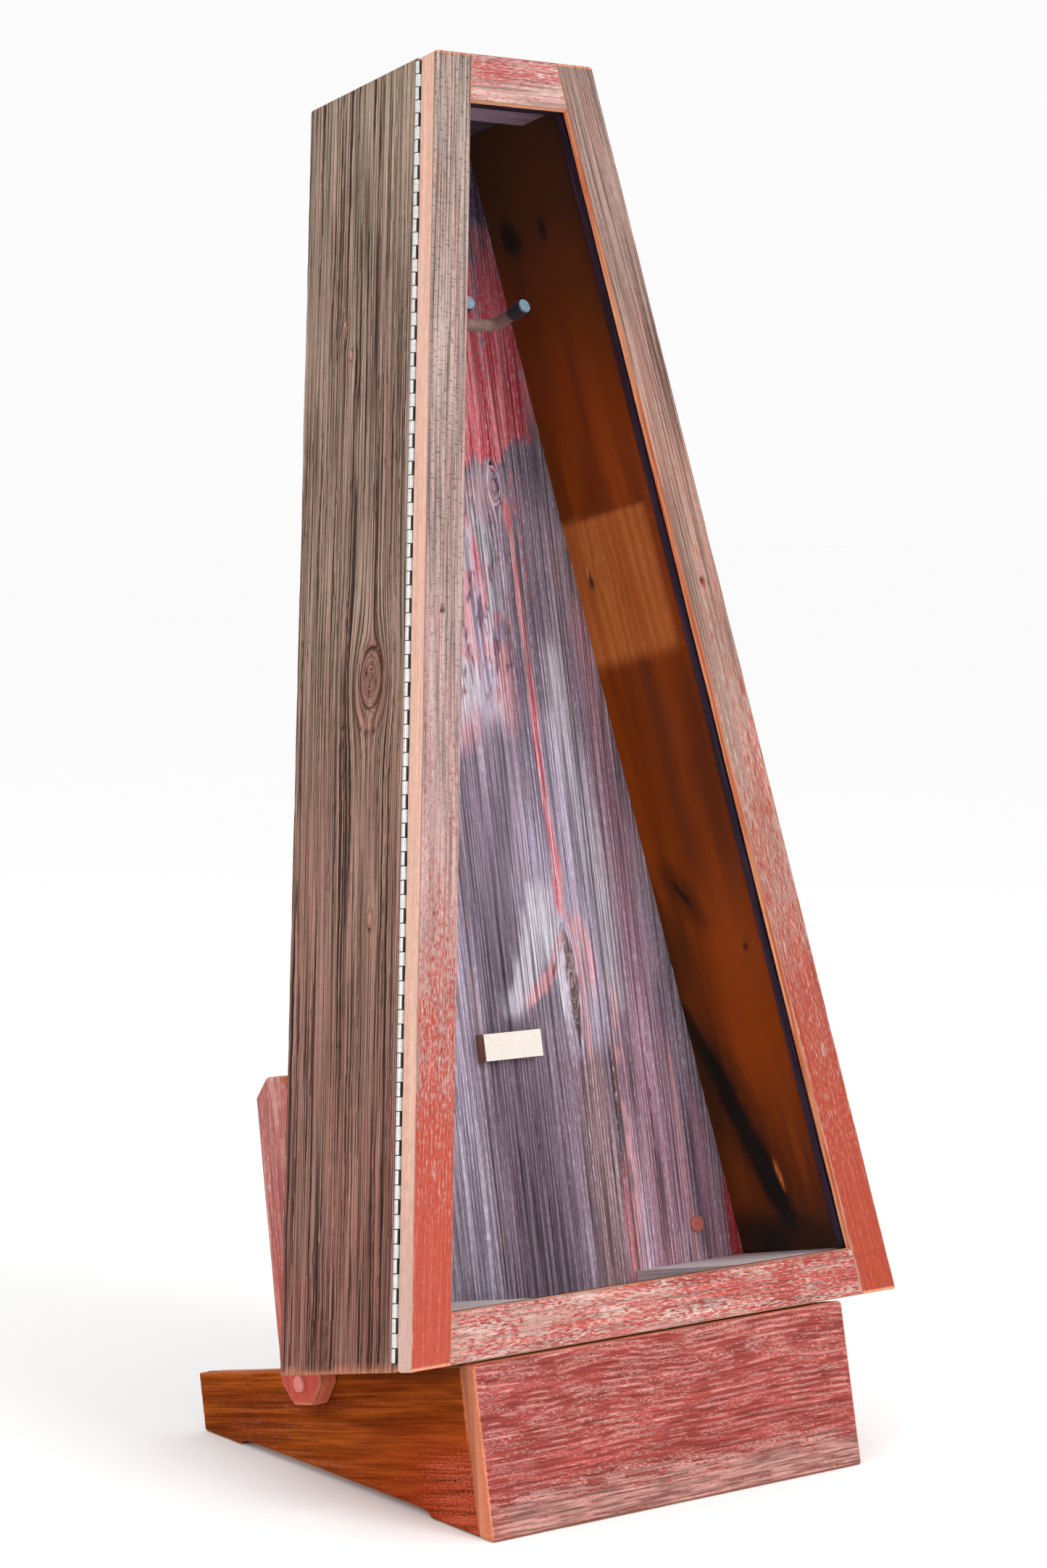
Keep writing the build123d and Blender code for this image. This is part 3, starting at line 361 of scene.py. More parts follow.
def remap(nt, value, a, b, c, d):
    n = nt.nodes.new("ShaderNodeMapRange")
    nt.links.new(value, n.inputs["Value"])
    for k, x in zip(("From Min", "From Max", "To Min", "To Max"), (a, b, c, d)):
        n.inputs[k].default_value = x
    return n.outputs["Result"]


def maths(nt, op, a, b):
    n = nt.nodes.new("ShaderNodeMath")
    n.operation = op
    for i, x in enumerate((a, b)):
        if isinstance(x, (int, float)):
            n.inputs[i].default_value = x
        else:
            nt.links.new(x, n.inputs[i])
    return n.outputs[0]


def blend_col(nt, kind, fac, a, b):
    n = nt.nodes.new("ShaderNodeMix")
    n.data_type = "RGBA"
    n.blend_type = kind
    for i, x in ((0, fac), (6, a), (7, b)):
        if isinstance(x, (int, float)):
            n.inputs[i].default_value = x
        elif isinstance(x, tuple):
            n.inputs[i].default_value = x
        else:
            nt.links.new(x, n.inputs[i])
    return n.outputs[2]


def bump(nt, bsdf, height, strength, distance):
    n = nt.nodes.new("ShaderNodeBump")
    n.inputs["Strength"].default_value = strength
    n.inputs["Distance"].default_value = distance
    nt.links.new(height, n.inputs["Height"])
    nt.links.new(n.outputs[0], bsdf.inputs["Normal"])


def wood_mat(name, dark=0.42, lift=1.16, pores=0.35, bump_d=0.0007, coat=0.0, coat_rough=0.15, spec=0.35,
             line_scale=(560.0, 260.0, 5.0), patch_scale=(330.0, 140.0, 62.0), fleck=(226, 198, 192), across=0.0):
    """The board's grain field gives the wood and paint colours; this adds the fine dark grain lines, fibres, pores,
    cross checks, the ragged edge of worn paint, a painted highlight on the ridge tops, and pale flecks on the ridges
    (weathered flecks, and on the back boards painted highlights)."""
    m, nt, bsdf, out = new_mat(name)

    def attr(key):
        n = nt.nodes.new("ShaderNodeAttribute")
        n.attribute_name = key
        return n
    col, pc, rg, gp, aux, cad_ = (attr(k) for k in ("col", "pc", "rg", "gp", "aux", "fk"))
    sep = nt.nodes.new("ShaderNodeSeparateXYZ")
    nt.links.new(aux.outputs["Vector"], sep.inputs[0])
    line_k, paint_k, cross_k = sep.outputs[0], sep.outputs[1], sep.outputs[2]
    vec = gp.outputs["Vector"]
    f1 = noise(nt, scaled(nt, vec, line_scale), 1.0, 3.0, 0.62)
    f2 = noise(nt, scaled(nt, vec, (2300.0, 800.0, 60.0)), 1.0, 2.0, 0.5)
    f3 = noise(nt, scaled(nt, vec, (240.0, 120.0, 110.0)), 1.0, 4.0, 0.6)
    f4 = noise(nt, scaled(nt, vec, patch_scale), 1.0, 5.0, 0.68)
    f5 = noise(nt, scaled(nt, vec, (900.0, 500.0, 120.0)), 1.0, 3.0, 0.6)
    # ragged paint
    edge = maths(nt, "ADD", maths(nt, "ADD", f4, maths(nt, "MULTIPLY", f1, 0.35)), paint_k)
    mask = remap(nt, edge, 1.13, 1.21, 0.0, 1.0)
    bare = blend_col(nt, "MIX", mask, col.outputs["Color"], pc.outputs["Color"])
    # pale flecks on the ridges: weathered flecks, and on the back boards painted highlights
    fleck_highlight_mask = maths(nt, "MULTIPLY", remap(nt, maths(nt, "ADD", f5, maths(nt, "MULTIPLY", f1, 0.5)), 0.80, 0.90, 0.0, 1.0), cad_.outputs["Fac"])
    bare = blend_col(nt, "MIX", fleck_highlight_mask, bare, tuple(rgb(*fleck)) + (1.0,))
    # dark lines between the ridges
    low = remap(nt, f1, 0.38, 0.53, 0.0, 1.0)
    dk = maths(nt, "MULTIPLY", maths(nt, "SUBTRACT", 1.0, low), line_k)
    k1 = maths(nt, "SUBTRACT", 1.0, maths(nt, "MULTIPLY", dk, 1.0 - dark))
    # ridge tops lighter: painted highlight
    k2 = remap(nt, f1, 0.56, 0.74, 1.0, lift)
    k3 = remap(nt, f2, 0.28, 0.46, 1.0 - pores, 1.0)
    k4 = remap(nt, f3, 0.30, 0.70, 0.90, 1.10)
    gg = maths(nt, "MULTIPLY", maths(nt, "MULTIPLY", k1, k2), maths(nt, "MULTIPLY", k3, k4))
    height = maths(nt, "SUBTRACT", maths(nt, "ADD", f1, maths(nt, "MULTIPLY", f2, 0.35)), maths(nt, "MULTIPLY", dk, 0.5))
    if across > 0:
        f6 = noise(nt, scaled(nt, vec, (170.0, 90.0, 520.0)), 1.0, 2.0, 0.5)
        ck = remap(nt, f6, 0.36, 0.41, 1.0, 0.0)
        ckk = maths(nt, "MULTIPLY", ck, cross_k)
        gg = maths(nt, "MULTIPLY", gg, maths(nt, "SUBTRACT", 1.0, maths(nt, "MULTIPLY", ckk, across)))
        height = maths(nt, "SUBTRACT", height, maths(nt, "MULTIPLY", ckk, 0.5))
    base = blend_col(nt, "MULTIPLY", 1.0, bare, gg)
    nt.links.new(base, bsdf.inputs["Base Color"])
    rr = maths(nt, "ADD", rg.outputs["Fac"], maths(nt, "ADD", remap(nt, f3, 0.3, 0.7, -0.06, 0.06), maths(nt, "MULTIPLY", mask, -0.12)))
    nt.links.new(rr, bsdf.inputs["Roughness"])
    bump(nt, bsdf, height, 0.9, bump_d)
    bsdf.inputs["Specular IOR Level"].default_value = spec
    bsdf.inputs["Coat Weight"].default_value = coat
    bsdf.inputs["Coat Roughness"].default_value = coat_rough
    return m


def solid_mat(name, c0, c1, scale=(60, 60, 60), rough=(0.4, 0.6), metal=0.0, bump_d=0.0002, spots=None, spec=0.5,
              coat=0.0, sheen=0.0):
    m, nt, bsdf, out = new_mat(name)
    tc = nt.nodes.new("ShaderNodeTexCoord")
    v = scaled(nt, tc.outputs["Object"], tuple(float(x) for x in scale))
    f = noise(nt, v, 1.0, 5.0, 0.6)
    f2 = noise(nt, scaled(nt, tc.outputs["Object"], tuple(float(x) * 7 for x in scale)), 1.0, 3.0, 0.5)
    cc0 = tuple(rgb(*c0)) + (1.0,)
    cc1 = tuple(rgb(*c1)) + (1.0,)
    base = blend_col(nt, "MIX", remap(nt, f, 0.32, 0.68, 0.0, 1.0), cc0, cc1)
    base = blend_col(nt, "MULTIPLY", 1.0, base, remap(nt, f2, 0.3, 0.7, 0.86, 1.08))
    nt.links.new(base, bsdf.inputs["Base Color"])
    nt.links.new(remap(nt, f2, 0.3, 0.7, rough[0], rough[1]), bsdf.inputs["Roughness"])
    bump(nt, bsdf, f2, 0.5, bump_d)
    bsdf.inputs["Metallic"].default_value = metal
    bsdf.inputs["Specular IOR Level"].default_value = spec
    bsdf.inputs["Coat Weight"].default_value = coat
    bsdf.inputs["Sheen Weight"].default_value = sheen
    return m


M_WEATHER = wood_mat("weathered_board", 0.20, 1.30, 0.42, 0.0010, spec=0.08, line_scale=(620.0, 260.0, 4.0))
M_STILE = wood_mat("frame_board", 0.30, 1.20, 0.34, 0.0008, spec=0.10, line_scale=(600.0, 260.0, 6.0), patch_scale=(520.0, 200.0, 150.0), across=0.42)
M_STILE_R = wood_mat("frame_board_fine", 0.30, 1.20, 0.34, 0.0008, spec=0.10, line_scale=(640.0, 260.0, 5.0), patch_scale=(620.0, 200.0, 60.0), across=0.30)
M_PAINT = wood_mat("painted_board", 0.40, 1.14, 0.30, 0.0008, spec=0.12, line_scale=(420.0, 260.0, 9.0), patch_scale=(520.0, 160.0, 120.0))
M_FRONT = wood_mat("painted_front", 0.40, 1.14, 0.30, 0.0010, spec=0.14, line_scale=(430.0, 260.0, 14.0), patch_scale=(760.0, 160.0, 230.0), fleck=(232, 196, 194))
# back boards: the lilac-white fleck colour is a painted highlight on the ridges
M_BACK = wood_mat("back_board", 0.34, 1.34, 0.35, 0.0009, spec=0.15, line_scale=(540.0, 260.0, 5.0), patch_scale=(300.0, 160.0, 60.0), fleck=(236, 230, 244))
M_STAND = wood_mat("stand_board", 0.48, 1.14, 0.22, 0.0006, spec=0.02, line_scale=(420.0, 200.0, 10.0), patch_scale=(600.0, 300.0, 300.0), fleck=(150, 96, 92))
M_GLOSS = wood_mat("stained_pine", 0.80, 1.06, 0.10, 0.0002, spec=0.0, coat=0.16, coat_rough=0.08, line_scale=(420.0, 200.0, 5.0))
M_PALE = wood_mat("pale_board", 0.86, 1.05, 0.16, 0.0003, spec=0.3)
M_BEAD = wood_mat("dark_bead", 0.75, 1.1, 0.2, 0.0002, spec=0.4)

# ------------------------------------------------------------------ grain looks
def fields(c, pitch=2.9, length=110.0, seed=0):
    """Broad ridges and cracks on the warped grain coordinate."""
    x, s, sd = c.x, c.s, c.seed + seed
    l1 = n2(x / pitch, s / length, sd)
    l2 = n2(x / (pitch * 2.1) + 9, s / (length * 1.7), sd + 1)
    l3 = n2(x / (pitch * 4.7) + 5, s / (length * 3.0), sd + 2)
    g = 0.55 * l1 + 0.30 * l2 + 0.15 * l3
    groove = ss(0.0, 0.42, g)
    crack = ss(0.62, 0.80, n2(x / (pitch * 1.7) + 31, s / (length * 1.9), sd + 4)) * ss(-0.1, 0.5, n2(x / 22, s / 260, sd + 5))
    return l1, l2, l3, g, groove, crack


def vband(u, w, table):
    """A soft vertical streak; table rows are (w, centre u, half width), rising in w."""
    ws, us, hs = (np.array(k, float) for k in zip(*table))
    mid, wid = np.interp(w, ws, us), np.interp(w, ws, hs)
    return np.exp(-((u - mid) / wid) ** 2) * ss(ws[0] - 14, ws[0] + 14, w) * (1 - ss(ws[-1] - 14, ws[-1] + 14, w))


def blob(u, w, u0, w0, ru, rw, lean=0.0):
    x = (u - u0) - lean * (w - w0)
    return np.exp(-(x / ru) ** 2 - ((w - w0) / rw) ** 2)


def knots_on(c, col, d, wood, dark, depth=0.8):
    """Rings and dark rim of the knots."""
    rings = 0.5 + 0.5 * np.sin(c.psi * 2.1 + 2.2 * n2(c.a / 7, c.s / 12, c.seed + 31))
    col = mix(col, mix(wood, dark, rings * 0.7), c.core * 0.92)
    col = mix(col, dark * 0.55, c.rim * 0.7 * ss(-0.6, 0.4, n2(c.a / 6, c.s / 14, c.seed + 30)))
    return col, d + depth * (0.35 * c.rim + 0.25 * c.core * rings)


def arris(c, col, fresh, amount=0.7, reach=1.6, ragged=1.0):
    """Fresh wood along the worn edges."""
    wear = 1 - ss(0.3, reach + ragged * n2(c.s / 14, c.x / 50, c.seed + 60), c.near)
    return mix(col, fresh, wear * amount * (0.55 + 0.45 * ss(-0.5, 0.3, n2(c.s / 31, c.a / 40, c.seed + 61))))


UP_L, IN_L = np.array([ST, 0, CT]), np.array([CT, 0, -ST])
UP_R, IN_R = np.array([-ST, 0, CT]), np.array([-CT, 0, -ST])


def slanted_limits(O, A, B, G, w0=0.0, w1=H):
    O, A, B, G = (np.array(x, float) for x in (O, A, B, G))

    def f(a, b):
        base = O[2] + a * A[2] + b * B[2]
        return (w0 - base) / G[2], (w1 - base) / G[2]
    return f


def siding(levels, light, dark, splits=(), halo=None):
    """Bare weathered siding; levels are (w, r, g, b) of the wood between the lines, splits are (across, from, to)."""
    hs = [k[0] for k in levels]
    cols = np.array([rgb(*k[1:]) for k in levels])
    dark = rgb(*dark)

    def look(c):
        l1, l2, l3, g, groove, crack = fields(c, 1.5, 150)
        w = c.p[..., 2]
        base = np.stack([np.interp(w, hs, cols[:, k]) for k in range(3)], -1)
        tone = fbm(c.x / 30, c.s / 240, c.seed + 40, 3)
        col = base * (1 + light * (tone - 0.25 * g))[..., None]
        col = mix(col, base * np.array([1.16, 0.92, 0.94]), ss(0.0, 0.7, n2(c.x / 13, c.s / 210, c.seed + 41)) * 0.4)
        col = mix(col, base * np.array([1.10, 0.86, 0.84]), (1 - ss(90, 420, w)) * ss(-0.5, 0.3, n2(c.x / 19, c.s / 160, c.seed + 42)) * 0.6)
        xs = c.x + 1.1 * n2(c.s / 34, c.x / 30, c.seed + 50) + 0.5 * n2(c.s / 13, c.x / 18, c.seed + 51)
        fine = ss(0.30, 0.48, n2(xs / 1.35, c.s / 260, c.seed + 52)) * ss(-0.9, -0.2, n2(xs / 9, c.s / 120, c.seed + 53))
        calm = 0.3 + 0.7 * (1 - ss(430, 680, w))
        col = mix(col * (1.09 - 0.035 * calm)[..., None], dark, groove * (0.38 - 0.20 * calm))
        col = mix(col, dark * 0.45, fine * 0.88)
        col = mix(col, dark * 0.8, crack * (0.16 - 0.08 * calm))
        d = (0.42 - 0.20 * calm) * groove + 0.35 * fine + 0.2 * crack + 0.08 * (l1 + 1)
        col, d = knots_on(c, col, d, rgb(196, 148, 130), mix(dark, rgb(150, 96, 82), 0.55), 0.6)
        if halo:
            # pink bark ring round the big knot and the checks in its heart
            kx, ky = (c.a - halo[0]) / halo[2], (c.s - halo[1]) / (halo[2] * halo[3])
            kr = np.hypot(kx, ky + 0.12)
            ring = np.exp(-((kr - 1.30) / 0.15) ** 2) * ss(-0.9, 0.2, n2(np.arctan2(kx, ky) * 1.6, kr * 2, c.seed + 56) - ky)
            col = mix(col, rgb(186, 126, 112), ring * 0.62)
            edge = np.exp(-((kr - 1.50) / 0.05) ** 2) * ss(-0.6, 0.3, -ky)
            col = mix(col, dark * 0.5, edge * 0.75)
            wob = 0.09 * n2(kx * 3, ky * 3, c.seed + 57)
            star = np.maximum(np.exp(-((kx + 0.30 * ky + wob) / 0.05) ** 2) * (1 - ss(0.45, 0.65, np.abs(ky))),
                              np.exp(-((ky - 0.35 * kx + wob) / 0.05) ** 2) * (1 - ss(0.4, 0.6, np.abs(kx))))
            col = mix(col, dark * 0.35, star * 0.85)
            d = d + 0.6 * star + 0.5 * edge
        for a0, s0, s1 in splits:
            mid = a0 + 2.4 * n2(c.s / 70, 0.3, c.seed + 54) + 0.7 * n2(c.s / 17, 0.6, c.seed + 55)
            line = np.exp(-((c.x - mid) / 0.62) ** 2) * bump_at(c.s, s0, s1, 24)
            col = mix(col, dark * 0.26, ss(0.25, 0.8, line) * 0.8)
            d = d + 0.9 * ss(0.2, 0.7, line)
        col = arris(c, col, rgb(206, 148, 124), 0.6)
        col = mix(col, rgb(214, 140, 108), (1 - ss(2.0, 7.0, w + 3 * n2(c.x / 6, w / 9, c.seed + 77))) * 0.8)
        return col, 0.85 + 0.06 * groove, d
    return look


def stained(c, right):
    """Glossy dark stain over pine, with knots that took it darker."""
    v, w = c.p[..., 1], c.p[..., 2]
    line = n2(c.x / 3.4, c.s / 300, c.seed + 7)
    tone = fbm(c.x / 22, c.s / 260, c.seed + 8, 4)
    amber, deep, black = rgb(172, 74, 0), rgb(122, 48, 0), rgb(16, 6, 2)
    col = mix(amber, deep, ss(-0.5, 0.55, tone + 0.22 * line))
    col = mix(col, rgb(120, 50, 4), ss(800, 900, w) * 0.6)
    col = mix(col, rgb(64, 28, 3), ss(870, 1010, w) * 0.62)
    col = mix(col, rgb(60, 26, 3), ss(1000, 1070, w) * 0.6)
    col = mix(col, deep, bump_at(w, 430, 620, 40) * 0.30)
    col = mix(col, rgb(184, 80, 0), bump_at(w, 190, 400, 60) * (1 - ss(100, 150, v)) * 0.7)
    col = mix(col, rgb(66, 28, 6), (1 - ss(60, 170, w)) * 0.75)
    col = mix(col, rgb(60, 24, 3), ss(120, 172, v) * bump_at(w, 120, 400, 50) * (0.75 - 0.25 * bump_at(w, 230, 310, 20)))
    # painted light: a paler patch of light with straight upper and lower edges, painted into the stain on the right
    # side
    top = 771 + 0.03 * (v - 57) + 1.2 * n2(v / 9, w / 9, 3)
    painted_light_patch = ss(622, 640, w) * (1 - ss(top - 1.5, top + 1.5, w)) * ss(52, 60, v)
    painted_light_patch = painted_light_patch * (0.92 + 0.08 * n2(v / 20, w / 30, 5))
    col = mix(col, mix(rgb(226, 134, 66), rgb(208, 112, 48), ss(-0.4, 0.6, line + tone)), painted_light_patch * (0.92 if right else 0.0))
    for a, s_, ra, rs, lean, amt in ((157.6, 713, 4.0, 9, 0, 0.9), (152, 1052, 14, 20, 0.3, 0.9), (104, 1050, 6, 14, 0, 0.85),
                                     (141, 398, 6, 17, 0.55, 0.95), (140, 398, 20, 40, 0.55, 0.45), (67.7, 340, 3.5, 5, 0, 0.9),
                                     (139, 180, 17, 98, 0.36, 0.98), (112, 105, 19, 48, 0.3, 0.97), (160, 40, 60, 50, 0, 0.8), (100, 50, 60, 34, 0, 0.7), (172, 262, 12, 44, 0.4, 0.72),
                                     (137, 180, 40, 120, 0.36, 0.5)):
        m = blob(v + 3 * n2(v / 6, w / 14, 9), w, a, s_, ra, rs, lean)
        col = mix(col, black, ss(0.18, 0.75, m) * amt)
    slit = blob(v, w, 101.5, 118, 3.0, 19, 0.2)
    col = mix(col, rgb(250, 140, 60), ss(0.3, 0.8, slit) * 0.95)
    col = mix(col, rgb(235, 190, 150), ss(0.4, 0.8, blob(v, w, 160.5, 722, 1.3, 9)) * 0.8)
    c.line = np.where(c.side == 2, 0.10, c.line)
    return col


def side_look(outer, right):
    def look(c):
        co, ro, do = outer(c)
        inside = c.side == 2
        cs = stained(c, right)
        col = np.where(inside[..., None], cs, co)
        rough = np.where(inside, 0.33, ro)
        d = np.where(inside, 0.04 + 0.04 * n2(c.x / 3, c.s / 120, c.seed), do)
        edge = (c.side == 3) | (c.side == 1)
        bare = mix(rgb(206, 150, 120), rgb(232, 184, 156), ss(-0.4, 0.6, fbm(c.x / 4, c.s / 160, c.seed + 80, 3)))
        col = np.where(edge[..., None], mix(bare, co, 0.35 + 0 * c.s), col)
        c.line = np.where(edge, 0.35, c.line)
        return col, rough, np.where(edge, 0.15 * do, d)
    return look


LEVELS = ((0, 152, 112, 100), (200, 156, 118, 106), (380, 158, 122, 108), (500, 168, 132, 116), (700, 166, 140, 124), (900, 166, 140, 124), (1180, 168, 147, 129))
def case_corner(a, b, s, side):
    """Rounded rear top corner."""
    top = (H - b * ST) / CT
    k = np.clip(s - (top - 4.5), 0, 4.4)
    return np.minimum(a, CASE_B - (4.5 - np.sqrt(20.25 - k * k))), b


out_left = siding(LEVELS, 0.09, (66, 44, 38), ((114.0, 770.0, 940.0), (79.5, 655.0, 745.0), (54.0, 300.0, 420.0)), halo=(80.7, 610.8 / CT, 18.0, 1.75))
out_right = siding(LEVELS, 0.11, (66, 44, 38), ((88.0, 500.0, 700.0), (120.0, 820.0, 980.0)))
for hand, sgn, UPv, INv in (("left", -1, UP_L, IN_L), ("right", 1, UP_R, IN_R)):
    O = np.array([sgn * half(0), 0, 0])
    Bv = -INv
    kn = [(80.7, 610.8 / CT, 18.0, 1.75), (134.2, 947 / CT, 4.0, 1.9), (122.7, 920 / CT, 3.2, 2.4), (41.4, 944.7 / CT, 2.0, 1.5),
          (74.1, 392.7 / CT, 5.0, 1.6), (141.9, 120.6 / CT, 2.2, 1.5), (34.2, 117.8 / CT, 2.0, 1.5)] if sgn < 0 else \
         [(60.0, 300 / CT, 12.0, 1.9), (140.0, 720 / CT, 7.0, 1.8), (110.0, 1010 / CT, 4.0, 1.6)]
    board(f"v_side_{hand}", f"side_{hand}", "case", M_WEATHER, side_look(out_left if sgn < 0 else out_right, sgn > 0),
          O, UPv, (0, 1, 0), Bv, rect(19.0), CASE_B - CASE_F, slanted_limits(O, (0, 1, 0), Bv, UPv),
          lambda s, b: (CASE_F, CASE_B), ds=5.0, radius=1.5, side_steps=[1.0, 1.6, 2.4, 1.6], knots=kn, seed=100 + sgn * 7, mod=case_corner, second=(M_GLOSS, 2), extra_rows=[1187.0, 1188.2, 1189.4])

# ------------------------------------------------------------------ door frame
def stile_mod(sgn):
    def mod(a, b, s, side):
        w = s * CT
        # rounded outer corners
        k = np.clip(np.maximum(4.5 - (s - a * ST / CT), (s - a * ST / CT) - (H / CT - 4.5)), 0, 4.4)
        a = np.maximum(a, 4.5 - np.sqrt(20.25 - k * k))
        open_ = (w > RAIL_B - REBATE) & (w < H - RAIL_T + REBATE)
        notch = (b < -LIP + 0.05) & (a > 43.0 - REBATE - 0.05) & (side >= 2) & (side <= 4)
        return np.where(notch & ~open_, np.maximum(a, 43.0 - 0.02), a), b
    return mod


def frame_edges(c, col, d, inner_side, outer_side, dark_sides):
    """Cut edges of the frame: orange lip round the opening, bare peach outside, dark rebate."""
    t = fbm(c.x / 2.2, c.s / 140, c.seed + 81, 3)
    lip = mix(rgb(206, 104, 62), rgb(238, 168, 128), ss(-0.7, 0.8, n2(c.b / 1.6, c.s / 60, c.seed + 82)))
    bare = mix(rgb(226, 184, 166), rgb(218, 170, 150), ss(-0.5, 0.6, t))
    foot = 1 - ss(20, 220, c.s)
    bare = mix(bare, bare * np.array([0.84, 0.88, 0.96]), foot)
    is_in, is_out = c.side == inner_side, c.side == outer_side
    w = c.p[..., 2]
    is_dark = np.isin(c.side, dark_sides) & (w > RAIL_B - REBATE - 0.6) & (w < H - RAIL_T + REBATE + 0.6)
    col = np.where(is_out[..., None], bare, col)
    col = np.where(is_in[..., None], lip, col)
    col = np.where(is_dark[..., None], rgb(40, 30, 48) * (1 + 0.3 * t[..., None]), col)
    rest = (c.side != 0) & ~is_in & ~is_out & ~is_dark
    col = np.where(rest[..., None], mix(rgb(196, 144, 114), rgb(166, 116, 90), ss(-0.5, 0.5, t)), col)
    plain = c.side != 0
    c.line = np.where(plain, 0.06, c.line)
    c.cross = np.where(plain, 0.0, c.cross)
    c.paint = np.where(plain, -0.5, c.paint)
    c.fleck = np.where(plain, 0.0, c.fleck)
    return col, np.where(plain, 0.12 * d, d)


def stile_look(right):
    if right:
        lev = ((0, 176, 128, 116), (300, 178, 138, 126), (500, 180, 146, 134), (640, 172, 140, 128), (800, 178, 138, 124), (960, 162, 132, 122), (1180, 160, 134, 124))
        hs, ps = [0, 130, 200, 300, 400, 480, 560, 660, 760, H], [0.5, 0.42, 0.24, 0.05, 0.0, -0.03, -0.10, -0.12, -0.18, -0.5]
        lk = ([0, 160, 300, 500, 700, 900, H], [0.05, 0.12, 0.3, 0.45, 0.75, 1.0, 1.0])
        red0, red1 = rgb(168, 68, 47), rgb(164, 78, 64)
    else:
        lev = ((0, 192, 150, 142), (300, 192, 154, 148), (500, 190, 158, 154), (640, 186, 160, 156), (780, 182, 156, 150), (1180, 180, 160, 150))
        hs, ps = [0, 130, 190, 260, 340, 420, 520, 620, 760, H], [0.5, 0.40, 0.14, 0.03, -0.03, -0.10, -0.12, -0.18, -0.26, -0.40]
        lk = ([0, 150, 300, 600, 800, H], [0.05, 0.2, 0.5, 0.7, 0.9, 1.0])
        red0, red1 = rgb(180, 78, 62), rgb(176, 80, 68)
    lw, lc = [k[0] for k in lev], np.array([rgb(*k[1:]) for k in lev])

    def look(c):
        w = c.s * CT
        l1, l2, l3, g, groove, crack = fields(c, 1.5, 110)
        tone = fbm(c.x / 10, c.s / 110, c.seed + 40, 3)
        base = np.stack([np.interp(w, lw, lc[:, k]) for k in range(3)], -1)
        weather = ss(80, 620, w) if not right else ss(200, 860, w)
        col = base * (0.95 + 0.16 * (tone - 0.3 * g * weather))[..., None]
        col = mix(col, base * np.array([1.05, 0.80, 0.78]), ss(0.1, 0.7, n2(c.x / 5, c.s / 60, c.seed + 45)) * 0.5)
        col = mix(col, base * 0.42, groove * 0.5 * weather)
        col = mix(col, rgb(70, 44, 36), crack * 0.6 * weather)
        c.paint = np.interp(w, hs, ps) + (0.0 if right else 0.03) * ss(540, 620, w) + 0.09 * fbm(c.x / 16, c.s / 60, c.seed + 70, 3)
        # pale worn patches near the foot
        c.paint = c.paint - 0.24 * ss(0.1, 0.6, fbm(c.x / 11, c.s / 34, c.seed + 72, 3)) * bump_at(w, 120 if not right else 170, 230 if not right else 260, 18)
        c.pcol = mix(red0, red1, ss(130, 420, w) * 0.7 + 0.3 * ss(-0.3, 0.5, fbm(c.x / 14, c.s / 90, c.seed + 71, 3)))
        c.cross = (np.interp(w, [0, 300, 600, 800, H], [0.05, 0.3, 0.7, 1.0, 0.9]) if not right else np.interp(w, [0, 800, H], [0.05, 0.1, 0.3]))
        c.line = np.interp(w, *lk)
        c.fleck = 0.10 + 0.35 * bump_at(w, 140, 600, 60)
        d = (0.42 * groove + 0.7 * crack) * (0.12 + 0.88 * weather) + 0.05 * (l1 + 1) * weather
        col, d = knots_on(c, col, d, rgb(150, 92, 76), rgb(58, 34, 28))
        hole = np.exp(-(((c.a - (20.0 if not right else 22.0)) / 1.9) ** 2 + ((w - (661.5 if not right else 688.2)) / 2.8) ** 2))
        col = mix(col, rgb(26, 14, 12), ss(0.35, 0.7, hole))
        c.line = c.line * (1 - ss(0.2, 0.6, hole))
        d = d + 1.4 * ss(0.35, 0.8, hole)
        col = arris(c, col, rgb(240, 184, 156), 0.9, 1.3, 0.8)
        c.pcol = arris(c, c.pcol, rgb(246, 206, 186), 0.95, 1.3, 0.9)
        foot = 1 - ss(1.5, 3.6, c.ends)
        col, c.pcol = mix(col, rgb(222, 150, 118), foot), mix(c.pcol, rgb(222, 150, 118), foot)
        col, d = frame_edges(c, col, d, 1, 5, [2, 3])
        return col, 0.74 + 0.06 * groove, d
    return look


STILE_SEC = [(0, 0, 0), (0, 43.0, 0), (0, 43.0, -LIP), (0, 33.0, -LIP), (0, 33.0, -DOOR_T), (0, 0, -DOOR_T)]
for hand, sgn, UPv, INv in (("left", -1, UP_L, IN_L), ("right", 1, UP_R, IN_R)):
    O = np.array([sgn * half(0), 0, 0])
    kn = [(20.0, 661.5 / CT, 2.4, 1.3)] if sgn < 0 else [(22.0, 688.2 / CT, 2.6, 1.5)]
    board(f"v_stile_{hand}", f"stile_{hand}", "door", M_STILE if sgn < 0 else M_STILE_R, stile_look(sgn > 0),
          O, UPv, INv, (0, -1, 0), STILE_SEC, 43.0, slanted_limits(O, INv, (0, -1, 0), UPv),
          lambda s, b: (0.0, 43.0), ds=4.0, radius=1.2, side_steps=[0.9, 1.4, 2.5, 3.0, 4.0, 1.5], knots=kn,
          mod=stile_mod(sgn), extra_rows=[(RAIL_B - REBATE - 0.2) / CT, (RAIL_B - REBATE + 0.2) / CT, (H - RAIL_T + REBATE - 0.2) / CT, (H - RAIL_T + REBATE + 0.2) / CT, 2.1, 3.2, H / CT - 3.2, H / CT - 2.1],
          seed=200 + sgn * 9)


